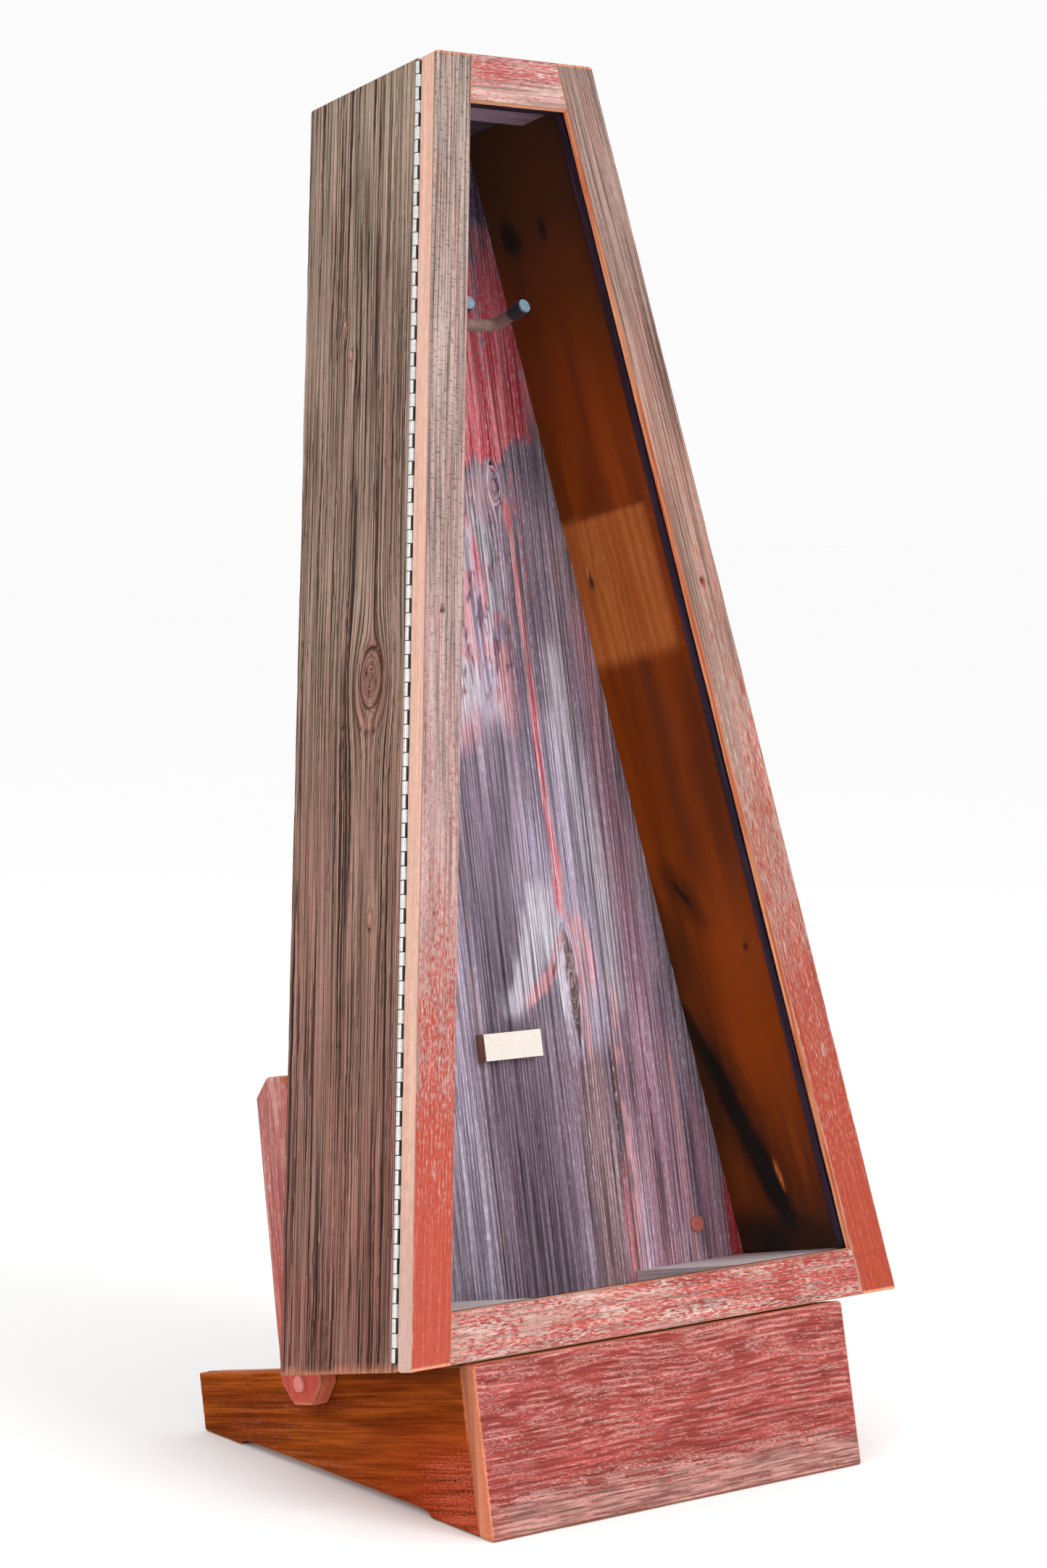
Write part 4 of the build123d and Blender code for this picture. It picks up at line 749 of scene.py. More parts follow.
def rail_look(base, light, red, bias, flip):
    base, light, red = rgb(*base), rgb(*light), rgb(*red)

    def look(c):
        l1, l2, l3, g, groove, crack = fields(c, 2.3, 60)
        tone = fbm(c.x / 7, c.s / 50, c.seed + 40, 3)
        col = mix(base, light, ss(-0.3, 0.6, tone - 0.4 * g))
        col = mix(col, col * 0.66, groove * 0.35)
        col = mix(col, rgb(70, 40, 36), crack * 0.75)
        c.paint = bias(c) + 0.12 * fbm(c.x / 8, c.s / 30, c.seed + 70, 3)
        c.pcol = mix(red, red * 0.86, ss(-0.3, 0.5, tone))
        c.line = 0.75 + 0 * g
        c.fleck = 0.35 + 0 * g
        d = 0.38 * groove + 0.6 * crack + 0.05 * (l1 + 1)
        col = arris(c, col, rgb(240, 172, 136), 0.9, 1.3, 0.8)
        c.pcol = arris(c, c.pcol, rgb(240, 172, 136), 0.9, 1.3, 0.8)
        col, d = frame_edges(c, col, d, 1, 5, [2, 3])
        return col, 0.72 + 0.06 * groove, d
    return look


bt = [(0, 0, 0), (1, 0, 0), (1, 0, -LIP), (1, -REBATE, -LIP), (1, -REBATE, -DOOR_T), (0, 0, -DOOR_T)]
board("v_rail_bottom", "rail_bottom", "door", M_PAINT,
      rail_look((198, 152, 142), (222, 188, 178), (182, 78, 70), lambda c: -0.03 + 0.05 * ss(-200, 200, c.s), False),
      (0, 0, 0), (1, 0, 0), (0, 0, 1), (0, -1, 0), bt, RAIL_B, lambda a, b: (-stile_in(a), stile_in(a)),
      lambda s, b: (0.0, RAIL_B), ds=3.5, radius=1.1, side_steps=[0.9, 1.5, 3, 3, 4, 1.5], seed=310)
tp = [(1, 0, 0), (0, 0, 0), (0, 0, -LIP), (0, REBATE, -LIP), (0, REBATE, -DOOR_T), (1, 0, -DOOR_T)]
board("v_rail_top", "rail_top", "door", M_PAINT,
      rail_look((192, 152, 144), (206, 178, 168), (184, 92, 90), lambda c: 0.02 - 0.10 * ss(H - 16, H - 32, c.a), True),
      (0, 0, 0), (1, 0, 0), (0, 0, 1), (0, -1, 0), tp, RAIL_T, lambda a, b: (-stile_in(a), stile_in(a)),
      lambda s, b: (H - RAIL_T, H), ds=3.0, radius=1.1, side_steps=[0.9, 1.5, 3, 3, 4, 1.5], seed=320)

# dark beads behind the pane
BEAD, BLO, BHI = 9.4, RAIL_B - REBATE + 0.4, H - RAIL_T + REBATE - 0.4


def look_bead(c):
    t = fbm(c.x / 2, c.s / 60, c.seed, 3)
    col = mix(rgb(34, 26, 44), rgb(74, 50, 74), ss(-0.2, 0.7, t))
    return col, 0.5 + 0 * t, 0.08 + 0.05 * t


for hand, sgn, UPv, INv in (("left", -1, UP_L, IN_L), ("right", 1, UP_R, IN_R)):
    O = np.array([sgn * (stile_in(0) + 0.2 + BEAD), LIP + 3.0, 0])
    board(f"v_bead_{hand}", f"bead_{hand}", "door", M_BEAD, look_bead, O, UPv, INv, (0, -1, 0),
          rect(DOOR_T - 0.1 - LIP - 3.0), BEAD * CT, slanted_limits(O, INv, (0, -1, 0), UPv, BLO, BHI),
          lambda s, b: (0.0, BEAD * CT), ds=16, radius=0.7, step=1.6, seed=400 + sgn, wobble=0.1)
for nm, w0, w1 in (("bottom", BLO, RAIL_B - 0.2), ("top", H - RAIL_T + 0.2, BHI)):
    board(f"v_bead_{nm}", f"bead_{nm}", "door", M_BEAD, look_bead, (0, LIP + 3.0, 0), (1, 0, 0), (0, 0, 1), (0, -1, 0),
          rect(DOOR_T - 0.1 - LIP - 3.0), w1 - w0, lambda a, b: (-stile_in(a), stile_in(a)),
          lambda s, b, w0=w0, w1=w1: (w0, w1), ds=16, radius=0.7, step=1.6, seed=410, wobble=0.1)

# ------------------------------------------------------------------ back planks
SEAMS = (-196.0, -34.5, 127.0)
LOW, HIGH, GAP = 19.0, H - 19.0, 0.1


def look_back(c):
    u, w = c.p[..., 0], c.p[..., 2]
    uu = u + 2.6 * fbm(u / 9, w / 40, 901, 3)
    ww = w + 16 * fbm(u / 14, w / 60, 902, 3) + ss(22, -50, u) * (90 * n2(u / 52 + 0.4, 0.5, 918) + 34 * fbm(u / 13, w / 90, 919, 3))
    l1, l2, l3, g, groove, crack = fields(c, 1.7, 120)
    slate, slate_d, lilac, white = rgb(112, 98, 110), rgb(66, 56, 68), rgb(172, 154, 182), rgb(206, 196, 214)
    mauve, pink, rose, blood, navy, brown = rgb(142, 98, 112), rgb(222, 138, 144), rgb(212, 84, 92), rgb(150, 34, 36), rgb(70, 72, 104), rgb(128, 100, 98)
    tone = fbm(c.x / 16, c.s / 200, c.seed + 40, 4)
    streak = n2(c.x / 5, c.s / 330, c.seed + 43)
    col = mix(slate, lilac, ss(0.0, 0.8, tone + 0.3 * streak) * 0.55)
    col = mix(col, slate_d, ss(-0.1, 0.8, -tone - 0.3 * streak) * 0.6)
    # colour bands down the boards
    col = mix(col, lilac, vband(uu, ww, [(20, -60, 26), (420, -60, 26)]) * 0.55)
    col = mix(col, slate_d, vband(uu, ww, [(20, 0, 34), (240, 4, 36), (520, 4, 30), (600, 10, 26)]) * 0.6)
    col = mix(col, lilac, vband(uu, ww, [(250, 100, 30), (380, 104, 26), (520, 100, 24), (600, 96, 20)]) * 0.65)
    col = mix(col, white, vband(uu, ww, [(300, 138, 13), (420, 134, 12), (540, 116, 14), (660, 108, 10)]) * 0.45)
    col = mix(col, mauve, vband(uu, ww, [(20, 170, 34), (300, 172, 26), (560, 158, 16), (700, 146, 10)]) * 0.75)
    col = mix(col, mauve, vband(uu, ww, [(20, 228, 26), (200, 214, 20)]) * 0.6)
    col = mix(col, mix(navy, slate, 0.5 + 0 * uu), vband(uu, ww, [(60, 214, 8), (220, 204, 9), (330, 192, 8)]) * 0.5)
    col = mix(col, brown, vband(uu, ww, [(20, 96, 22), (250, 98, 18)]) * 0.7)
    col = mix(col, pink, vband(uu, ww, [(40, 132, 7), (257, 134, 6), (340, 136, 4)]) * 0.6 * ss(-0.5, 0.4, n2(c.x / 3, c.s / 18, 77)))
    col = mix(col, rgb(190, 96, 98), vband(uu, ww, [(20, 122, 9), (90, 124, 8), (150, 122, 5)]) * 0.6 * ss(-0.6, 0.4, n2(c.x / 4, c.s / 30, 84)))
    col = mix(col, pink, vband(uu, ww, [(40, 201, 3), (260, 196, 2.4)]) * 0.6)
    even = bump_at(uu, -150, 74, 16) * (1 - ss(230, 420, w))
    col = mix(col, mix(slate, slate_d, 0.35 + 0.25 * ss(-30, 10, uu)), even * 0.45)
    # pale flame above the rest and its pink edge
    arc = np.interp(w, [303, 330, 360, 400, 450], [14, 30, 44, 58, 66])
    rag = fbm(u / 4.5, w / 20, 911, 4)
    flame = np.exp(-((uu - arc) / 19) ** 2) * bump_at(w, 300, 425, 22)
    col = mix(col, mix(white, lilac, ss(-0.2, 0.5, n2(u / 3, w / 30, 912)) * 0.6), ss(0.12, 0.85, flame + 0.26 * rag + 0.16 * n2(c.x / 2.2, c.s / 26, 917)) * 0.66)
    col = mix(col, lilac, blob(uu, ww, 60, 440, 16, 70) * 0.5)
    fill = blob(u, w, 68, 372, 20, 52, -0.15)
    col = mix(col, mix(white, lilac, ss(-0.3, 0.4, n2(u / 3, w / 26, 920))), ss(0.15, 0.75, fill + 0.30 * rag) * 0.6)
    col = mix(col, pink, ss(0.15, 0.6, blob(u, w, 47, 324, 11, 19, 1.1) + 0.26 * rag) * 0.8)
    col = mix(col, rgb(196, 112, 116), ss(0.3, 0.6, blob(u, w, 70, 352, 8, 30, 0.5) + 0.28 * rag) * 0.7)
    col = mix(col, rgb(52, 34, 40), ss(0.45, 0.7, blob(u, w, 72, 350, 3.0, 30, 0.55) + 0.30 * rag) * 0.7)
    col = mix(col, pink, ss(0.15, 0.65, blob(u, w, 106, 352, 11, 40, -0.12) + 0.26 * rag) * 0.75)
    col = mix(col, white, blob(uu, ww, 100, 300, 9, 26) * 0.5)
    # long pink-red streak between the knots
    st = vband(uu, w, [(392, 82, 6), (440, 83, 5.5), (500, 79, 4.2), (590, 78, 3.6), (680, 77, 3.0), (760, 75, 4), (800, 73, 6)])
    col = mix(col, mix(rose, pink, ss(-0.4, 0.5, n2(u / 2.2, w / 26, 78))), ss(0.15, 0.7, st) * 0.95)
    # bleached halo and pink flush round the spindle knot
    halo = blob(uu, w, 88, 322, 17, 60) - blob(uu, w, 88, 322, 8, 46)
    col = mix(col, mix(white, lilac, ss(-0.4, 0.4, n2(u / 4, w / 34, 86))), ss(0.22, 0.5, halo + 0.24 * rag) * 0.8)
    col = mix(col, rgb(206, 128, 132), ss(0.25, 0.6, vband(uu, w, [(250, 97, 2.6), (300, 99, 4.5), (350, 98, 4.5), (395, 90, 3)])) * 0.75)
    # spindle knot low down
    k2 = vband(uu, w, [(262, 88, 2), (290, 87, 6.5), (330, 87, 7), (378, 82, 4)])
    col = mix(col, mix(rgb(108, 84, 80), rgb(62, 42, 40), ss(-0.3, 0.3, n2(u / 2.0, w / 7, 79))), ss(0.35, 0.55, k2) * 0.97)
    col = mix(col, rgb(38, 24, 26), (ss(0.12, 0.3, k2) - ss(0.3, 0.55, k2)) * 0.85 * ss(-0.3, 0.4, n2(u / 5, w / 16, 80)))
    # paint and bleached curls near the head
    top = ss(600, 860, ww)
    col = mix(col, mix(pink, lilac, ss(-0.3, 0.4, n2(u / 9, w / 40, 81))), bump_at(ww, 585, 800, 30) * (1 - ss(38, 66, uu)) * 0.8)
    curl_zone = bump_at(ww, 600, 815, 26) * (1 - ss(48, 72, uu))
    curl = fbm((u + 6 * n2(u / 14, w / 26, 913)) / 7, w / 26, 914, 4)
    col = mix(col, mix(white, pink, ss(0.0, 0.3, curl)), curl_zone * ss(-0.10, 0.10, n2(u / 11, w / 44, 915) + 0.4 * curl) * 0.75)
    col = mix(col, rgb(70, 48, 62), curl_zone * ss(0.40, 0.55, n2((u + 5 * curl) / 2.6, (w - 0.9 * u) / 15, 916)) * 0.8)
    col = mix(col, rgb(170, 172, 174), blob(uu, ww, 38, 762, 9, 26) * 0.8)
    col = mix(col, rose * 0.9, blob(uu, ww, 29, 742, 5, 20) * 0.9)
    col = mix(col, rgb(190, 148, 156), blob(uu, ww, 52, 806, 22, 26) * 0.8)
    k1 = blob(u, w, 60.7, 833, 2.2, 5) + 0.9 * vband(uu, w, [(788, 70, 1.6), (812, 66, 1.8), (830, 62, 2.0)])
    col = mix(col, rgb(30, 18, 20), ss(0.3, 0.7, k1) * 0.95)
    c.pcol = mix(rgb(176, 52, 62), rgb(204, 92, 98), ss(-0.3, 0.5, fbm(uu / 6, w / 60, 903, 3)))
    bias = -0.5 + 0.62 * ss(812, 880, ww) - 0.05 * ss(980, 1050, w) - 0.16 * np.exp(-((uu - 67) / 4) ** 2) * ss(850, 900, w)
    bias = bias + 0.45 * bump_at(ww, 690, 830, 20) * ss(66, 84, uu) * (1 - ss(96, 108, uu)) * 0.9
    bias = bias - 0.10 * ss(104, 118, uu) + 0.40 * blob(uu, ww, 42, 860, 40, 40)
    c.paint = np.clip(bias, -0.5, 0.22)
    c.pcol = mix(c.pcol, rgb(120, 84, 100), ss(1000, 1070, w) * 0.45)
    low = ss(0.2, 0.7, blob(uu, ww, 262, 70, 20, 80))
    col = mix(col, blood, low)
    # painted shadow: dark strip just under the ceiling, where the top casts shade
    ceiling_shadow = ss(1062, 1092, w)
    col = mix(col, rgb(58, 34, 70), ceiling_shadow * 0.85)
    c.paint = c.paint - 0.5 * ceiling_shadow
    col = mix(col, slate_d * 0.6, groove * 0.42)
    col = mix(col, rgb(34, 24, 30), crack * 0.85)
    xh = c.x + 1.2 * n2(c.s / 42, c.x / 26, c.seed + 60)
    hair = ss(0.34, 0.56, n2(xh / 2.1, c.s / 170, c.seed + 61)) * ss(-0.4, 0.3, n2(xh / 12, c.s / 110, c.seed + 62))
    col = mix(col, rgb(40, 30, 40), hair * 0.42)
    # long splits
    for table in ([(30, 84, 0.9), (262, 85, 0.8)], [(20, 158, 0.6), (280, 170, 0.6)], [(30, 12, 0.7), (150, 8, 0.6)], [(90, 28, 0.6), (210, 20, 0.6)]):
        col = mix(col, rgb(44, 26, 30), ss(0.3, 0.8, vband(u + 0.8 * n2(u / 5, w / 22, 82), w, table)) * 0.85)
    wear = 1 - ss(0.3, 1.5, c.near)
    col = mix(col, rgb(196, 128, 104), wear * 0.55 * ss(-0.2, 0.5, n2(c.s / 30, c.a / 9, 83)))
    lift = 2.75 - 0.75 * ss(590, 720, w) * (1 - ss(60, 90, u)) - 0.75 * bump_at(u, -28, 52, 10) * (1 - ss(200, 300, w)) - 0.4 * bump_at(u, 50, 128, 12)
    lift = lift + 0.22 + 0.75 * bump_at(w, 400, 600, 50) * (1 - ss(40, 64, u)) + 1.1 * bump_at(w, 600, 800, 40) * ss(78, 94, u) + 0.35 * bump_at(w, 380, 560, 50) * ss(120, 140, u)
    warm = np.stack([1 + 0.12 * (1 - ss(220, 320, w)) * ss(-60, -20, u), np.ones_like(w), np.ones_like(w)], -1)
    col = 1 - (1 - np.clip(col * warm * np.array([1.0, 0.985, 1.03]), 0, 1)) ** lift[..., None]
    c.pcol = 1 - (1 - np.clip(c.pcol * np.array([1.0, 1.05, 1.1]), 0, 1)) ** 2.3
    back = c.side == 2
    cb = mix(rgb(150, 122, 104), rgb(110, 88, 74), ss(-0.4, 0.5, tone + 0.5 * g))
    col = np.where(back[..., None], mix(cb, rgb(70, 54, 46), groove * 0.4), col)
    c.paint = np.where(back, -0.5, c.paint)
    # the pale flecks on the front face are painted highlights on the ridges
    c.fleck = np.where(back, 0.1, (0.42 + 0.35 * ss(0, 0.5, tone)) * (1 - 0.7 * bump_at(u, -28, 52, 14) * (1 - ss(480, 640, w))))
    d = 0.45 * groove + 0.7 * crack + 0.10 * (l1 + 1)
    d = np.where(back, d, d + 1.6 * ss(0.3, 0.7, k1) + 0.9 * (ss(0.12, 0.3, k2) - ss(0.3, 0.55, k2)))
    return col, 0.50 + 0.2 * groove, d


def plank_mod(a, b, s, side):
    """Tongue in the middle of each edge, so that no light comes through the seams."""
    mid = (b < -4.0) & (b > -13.5)
    return np.where(mid & (side == 1), a + 1.2, np.where(mid & (side == 3), a - 1.2, a)), b


plank_spans = {1: (-inner(LOW) + 0.0, SEAMS[0] - GAP), 2: (SEAMS[0] + GAP, SEAMS[1] - GAP), 3: (SEAMS[1] + GAP, SEAMS[2] - GAP),
               4: (SEAMS[2] + GAP, inner(LOW))}
for i, (u0, u1) in plank_spans.items():
    kn = {2: [], 3: [(62.0, 812, 8.0, 2.6), (86.0, 325, 7.5, 4.6)], 4: [], 1: []}[i]
    board(f"v_back_plank_{i}", f"back_plank_{i}", "case", M_BACK, look_back, (0, BACK_F, 0), (0, 0, 1), (1, 0, 0), (0, -1, 0),
          rect(17.5), u1 - u0,
          lambda a, b: (LOW + 0 * a, np.maximum(np.minimum(HIGH, w_inner(a)), LOW + 0.6)),
          lambda s, b, u0=u0, u1=u1: (u0, u1), ds=4.0, radius=1.0, side_steps=[1.3, 2.2, 2.6, 2.2], knots=kn, seed=500 + i, mod=plank_mod)

# ------------------------------------------------------------------ top and bottom panels, cleat, floor blocks, rest
look_panel = siding(LEVELS, 0.16, (70, 48, 42))


def panel_look(c):
    col, rough, d = look_panel(c)
    inside = c.side == 2
    t = fbm(c.x / 14, c.s / 160, c.seed + 9, 4)
    ci = mix(rgb(120, 96, 108), rgb(88, 66, 72), ss(-0.4, 0.5, t))
    return np.where(inside[..., None], ci, col), rough, np.where(inside, 0.2 * d, d)


board("v_top_panel", "top_panel", "case", M_WEATHER, panel_look, (0, 0, H), (1, 0, 0), (0, 1, 0), (0, 0, 1),
      rect(19.0), CASE_B - CASE_F, lambda a, b: (-inner(H + b), inner(H + b)), lambda s, b: (CASE_F, CASE_B), ds=5,
      radius=1.2, side_steps=[1.5, 2, 3, 2], seed=610)
board("v_bottom_panel", "bottom_panel", "case", M_WEATHER, panel_look, (0, 0, 0), (1, 0, 0), (0, 1, 0), (0, 0, -1),
      rect(19.0), CASE_B - CASE_F, lambda a, b: (-inner(-b), inner(-b)), lambda s, b: (CASE_F, CASE_B), ds=6,
      radius=1.2, side_steps=[1.6, 2, 3, 2], seed=620)


def look_pale(c0, c1, c2, ends=None):
    a0, a1, a2 = rgb(*c0), rgb(*c1), rgb(*c2)

    def look(c):
        t = fbm(c.x / 7, c.s / 120, c.seed, 4)
        line = n2(c.x / 1.8, c.s / 150, c.seed + 3)
        col = mix(mix(a0, a1, ss(-0.5, 0.5, t)), a2, ss(0.3, 0.9, line) * 0.5)
        if ends is not None:
            col = mix(col, rgb(*ends), (c.ends < 0.9) * 1.0)
        return col, 0.6 + 0 * t, 0.12 + 0.1 * line
    return look


board("v_top_cleat", "top_cleat", "case", M_PALE, look_pale((186, 162, 180), (170, 146, 168), (206, 186, 198)),
      (0, 0, H - 31.0), (1, 0, 0), (0, 1, 0), (0, 0, -1), rect(12.0), 95 - CASE_F,
      lambda a, b: (-inner(H - 31 - b), inner(H - 31 - b)), lambda s, b: (CASE_F, 95.0), ds=6, radius=0.8, step=2.0, seed=630)
for hand, sgn in (("left", -1), ("right", 1)):
    board(f"v_floor_block_{hand}", f"floor_block_{hand}", "case", M_PALE,
          look_pale((252, 244, 246), (244, 230, 234), (226, 206, 206), ends=(206, 150, 132)),
          (0, 0, 43.7), (0, 1, 0), (1, 0, 0), (0, 0, 1), rect(24.7), 130.0,
          lambda a, b: (30.5 + 0 * a, 181.0 + 0 * a),
          (lambda s, b: (-inner(43.7 + b), -122.0 + 0 * b)) if sgn < 0 else (lambda s, b: (122.0 + 0 * b, inner(43.7 + b))),
          ds=5, radius=1.0, step=2.4, seed=640 + sgn)
board("v_rest_block", "rest_block", "case", M_PALE, look_pale((176, 122, 100), (150, 98, 78), (196, 144, 122)),
      (0, 171.5, 0), (1, 0, 0), (0, 0, 1), (0, -1, 0), rect(9.5), 26.0, lambda a, b: (-38.4 + 0 * a, 30.4 + 0 * a),
      lambda s, b: (258.0, 284.0), ds=3, radius=0.8, step=1.3, seed=650)

# ------------------------------------------------------------------ stand
V_F0, V_F1, V_R0, V_R1 = 90.03, 110.1, 356.8, 379.3


def stand_bottom(v):
    k = np.maximum(np.clip((V_F1 - v) / (V_F1 - V_F0), 0, 1), np.clip((v - V_R0) / (V_R1 - V_R0), 0, 1))
    return floor_w(v) + np.sqrt(1 - k * k) * 5.5 / C


def filled(c, *spots):
    """Smooth wood filler over the countersunk screw heads at these (v, w)."""
    v, w = c.p[..., 1], c.p[..., 2]
    keep = np.ones_like(v)
    for v0, w0 in spots:
        keep = keep * ss(5.4, 8.0, np.hypot(v - v0, w - w0))
    return keep


def look_stand(c):
    v, w = c.p[..., 1], c.p[..., 2]
    l1, l2, l3, g, groove, crack = fields(c, 2.6, 80)
    amber, deep, redd = rgb(164, 78, 20), rgb(126, 52, 8), rgb(160, 56, 18)
    tone = fbm(c.x / 10, c.s / 120, c.seed + 40, 4)
    line = n2(c.x / 4, c.s / 160, c.seed + 44)
    col = mix(amber, deep, ss(-0.5, 0.5, tone + 0.3 * line))
    corner = np.exp(-((v - 40) / 95) ** 2) * ss(-35, -95, w)
    col = mix(col, redd, np.clip(corner * 1.1 + 0.2 * ss(-60, -110, w), 0, 1) * 0.85)
    col = mix(col, deep * 0.62, groove * 0.34)
    col = mix(col, rgb(70, 34, 16), ss(-22, -8, w) * (1 - ss(120, 260, v)) * 0.5)
    col = mix(col, rgb(52, 24, 10), crack * 0.75)
    # dark horizontal shakes near the foot
    for w0 in (-104, -118, -131):
        col = mix(col, rgb(66, 28, 16), np.exp(-((w - w0 - 2.4 * n2(v / 26, w0 / 9, 85)) / 0.9) ** 2) * (1 - ss(60, 120, v)) * 0.7)
    c.pcol = rgb(186, 84, 62) + 0 * col
    c.paint = -0.30 + 0.30 * corner + 0.06 * tone
    c.fleck = (0.15 + 0.65 * ss(120, 300, v)) * ss(-0.4, 0.5, fbm(c.x / 9, c.s / 70, c.seed + 46, 3))
    c.line = 0.55 + 0.25 * ss(60, 300, v)
    col = arris(c, col, rgb(222, 132, 84), 0.85, 2.2, 1.0)
    topf = (c.side == 1) & (c.near > 0.5)
    col = np.where(topf[..., None], mix(rgb(224, 140, 96), rgb(206, 118, 76), ss(-0.5, 0.5, tone)), col)
    inner_face = c.side == 2
    col = np.where(inner_face[..., None], mix(col, rgb(132, 94, 66), 0.5 + 0 * c.s), col)
    return col, 0.58 + 0.15 * groove, (0.32 * groove + 0.5 * crack + 0.06 * (l1 + 1)) * filled(c, (389.5, -50.0))


for hand, sgn in (("left", -1), ("right", 1)):
    board(f"v_stand_side_{hand}", f"stand_side_{hand}", "stand", M_STAND, look_stand, (sgn * 219.5, 0, 0),
          (0, 1, 0), (0, 0, 1), (sgn, 0, 0), rect(19.0), 100.0, lambda a, b: (22.0, 438.0),
          lambda s, b: (stand_bottom(s), -3.0 + 0 * s), ds=2.6, radius=2.2, side_steps=[1.1, 2.4, 2.6, 2.4], mode=2, seed=700 + sgn, end_r=2.2)


def look_front(c):
    u, w = c.p[..., 0], c.p[..., 2]
    # broad wavy ridges near the top, finer and straighter towards the floor
    xw = c.x + (2.4 * np.sin(u / 31 + 0.8) + 0.9 * n2(u / 14, c.x / 12, c.seed + 9)) * ss(-100, -20, w)
    ph = xw / 4.6
    r1 = n2(ph * 1.55, u / 40, c.seed + 1)
    r2 = n2(ph * 3.3 + 7, u / 20, c.seed + 2)
    g = (0.5 * r1 + 0.5 * r2) * ss(-110, -40, w) + (0.15 * r1 + 0.85 * r2) * (1 - ss(-110, -40, w))
    groove = ss(0.0, 0.4, g)
    l1, l2, l3, g0, groove0, crack = fields(c, 2.6, 60)
    tone = fbm(c.x / 14, c.s / 90, c.seed + 40, 4)
    pale, grey, dark = rgb(202, 148, 140), rgb(190, 136, 126), rgb(96, 34, 32)
    col = mix(pale, grey, ss(-98, -142, w + 10 * tone) * 0.75)
    col = mix(col, rgb(206, 116, 102), (1 - ss(4, 30, u + 219.5)) * ss(-60, -130, w) * 0.5)
    col = mix(col, dark, groove * 0.34)
    red = mix(rgb(176, 76, 69), rgb(158, 65, 58), ss(-0.4, 0.5, tone))
    c.pcol = mix(red, dark, groove * 0.30)
    row = np.sin(2 * math.pi * (xw / 5.6 + 0.30 * n2(u / 46, xw / 22, c.seed + 3)))
    ridge = ss(0.35, 0.80, row + 0.35 * n2(u / 5, xw / 2.2, c.seed + 6)) * ss(-0.25, 0.15, n2(xw / 7, u / 17, c.seed + 4) + 0.25 * n2(xw / 30, u / 90, c.seed + 7)) * ss(-112, -84, w)
    c.pcol = mix(c.pcol, rgb(212, 146, 140), ridge * 0.72)
    shade = ss(-0.35, -0.85, row) * ss(-112, -84, w)
    c.pcol = mix(c.pcol, rgb(128, 48, 44), shade * 0.34)
    fine = ss(0.32, 0.5, n2(xw / 1.1, u / 46, c.seed + 5)) * ss(-92, -112, w)
    col = mix(col, rgb(122, 82, 76), fine * 0.45)
    band = np.interp(w, [-152, -136, -122, -108, -88, -66, -40, -14, 0], [-0.11, -0.11, 0.0, 0.10, 0.11, 0.09, 0.09, 0.10, 0.08])
    c.paint = band + 0.05 * fbm(c.x / 12, c.s / 26, c.seed + 41, 3) + 0.09 * (groove - 0.42)
    c.line = 0.55 + 0.25 * ss(-100, -140, w)
    c.fleck = 0.32 * ss(-0.1, 0.5, -g) + 0 * w
    col = mix(col, dark * 0.7, crack * 0.5)
    c.pcol = arris(c, c.pcol, rgb(232, 140, 106), 0.85, 2.0, 1.0)
    col = arris(c, col, rgb(232, 140, 106), 0.85, 2.0, 1.0)
    bare = mix(rgb(212, 120, 84), rgb(230, 148, 112), ss(-0.5, 0.5, fbm(c.b / 2.5, c.a / 40, c.seed + 49, 3)))
    endface = (c.cap > 0.5) | (c.ends < 1.2)
    back = c.side == 2
    plain = endface | (c.side != 0)
    col = np.where(plain[..., None], mix(bare, bare * 0.9, ss(0, 0.6, tone)), col)
    col = np.where((back & ~endface)[..., None], rgb(150, 104, 80) * (1 + 0.2 * tone[..., None]), col)
    c.paint = np.where(plain, -0.5, c.paint)
    c.line = np.where(plain, 0.15, c.line)
    c.fleck = np.where(plain, 0.0, c.fleck)
    return col, 0.58 + 0.12 * groove, np.where(plain, 0.05, 0.75 * groove + 0.4 * crack)


def front_ends(a, b):
    k = np.clip(a - (-7.0), 0, 5)
    cut = 5 - np.sqrt(np.maximum(25 - k * k, 0))
    return -219.5 + cut, 219.5 - cut


board("v_stand_front", "stand_front_board", "stand", M_FRONT, look_front, (0, 2.9, 0), (1, 0, 0), (0, 0, 1), (0, -1, 0),
      rect(19.1), 150.0, front_ends, lambda s, b: (floor_w(2.9 - b), -2.0 + 0 * b), ds=2.6, radius=2.0, side_steps=[0.8, 1.6, 3, 1.6],
      seed=720, end_r=2.0)

# arms
AT = math.radians(2.0)
XD, HD = np.array([0, math.cos(AT), math.sin(AT)]), np.array([0, -math.sin(AT), math.cos(AT)])


def arm_half(s, b):
    h = np.interp(s, [-19.5, 0.5, 261.0, 280.0], [14.0, 31.0, 31.0, 11.0])
    return -h, h


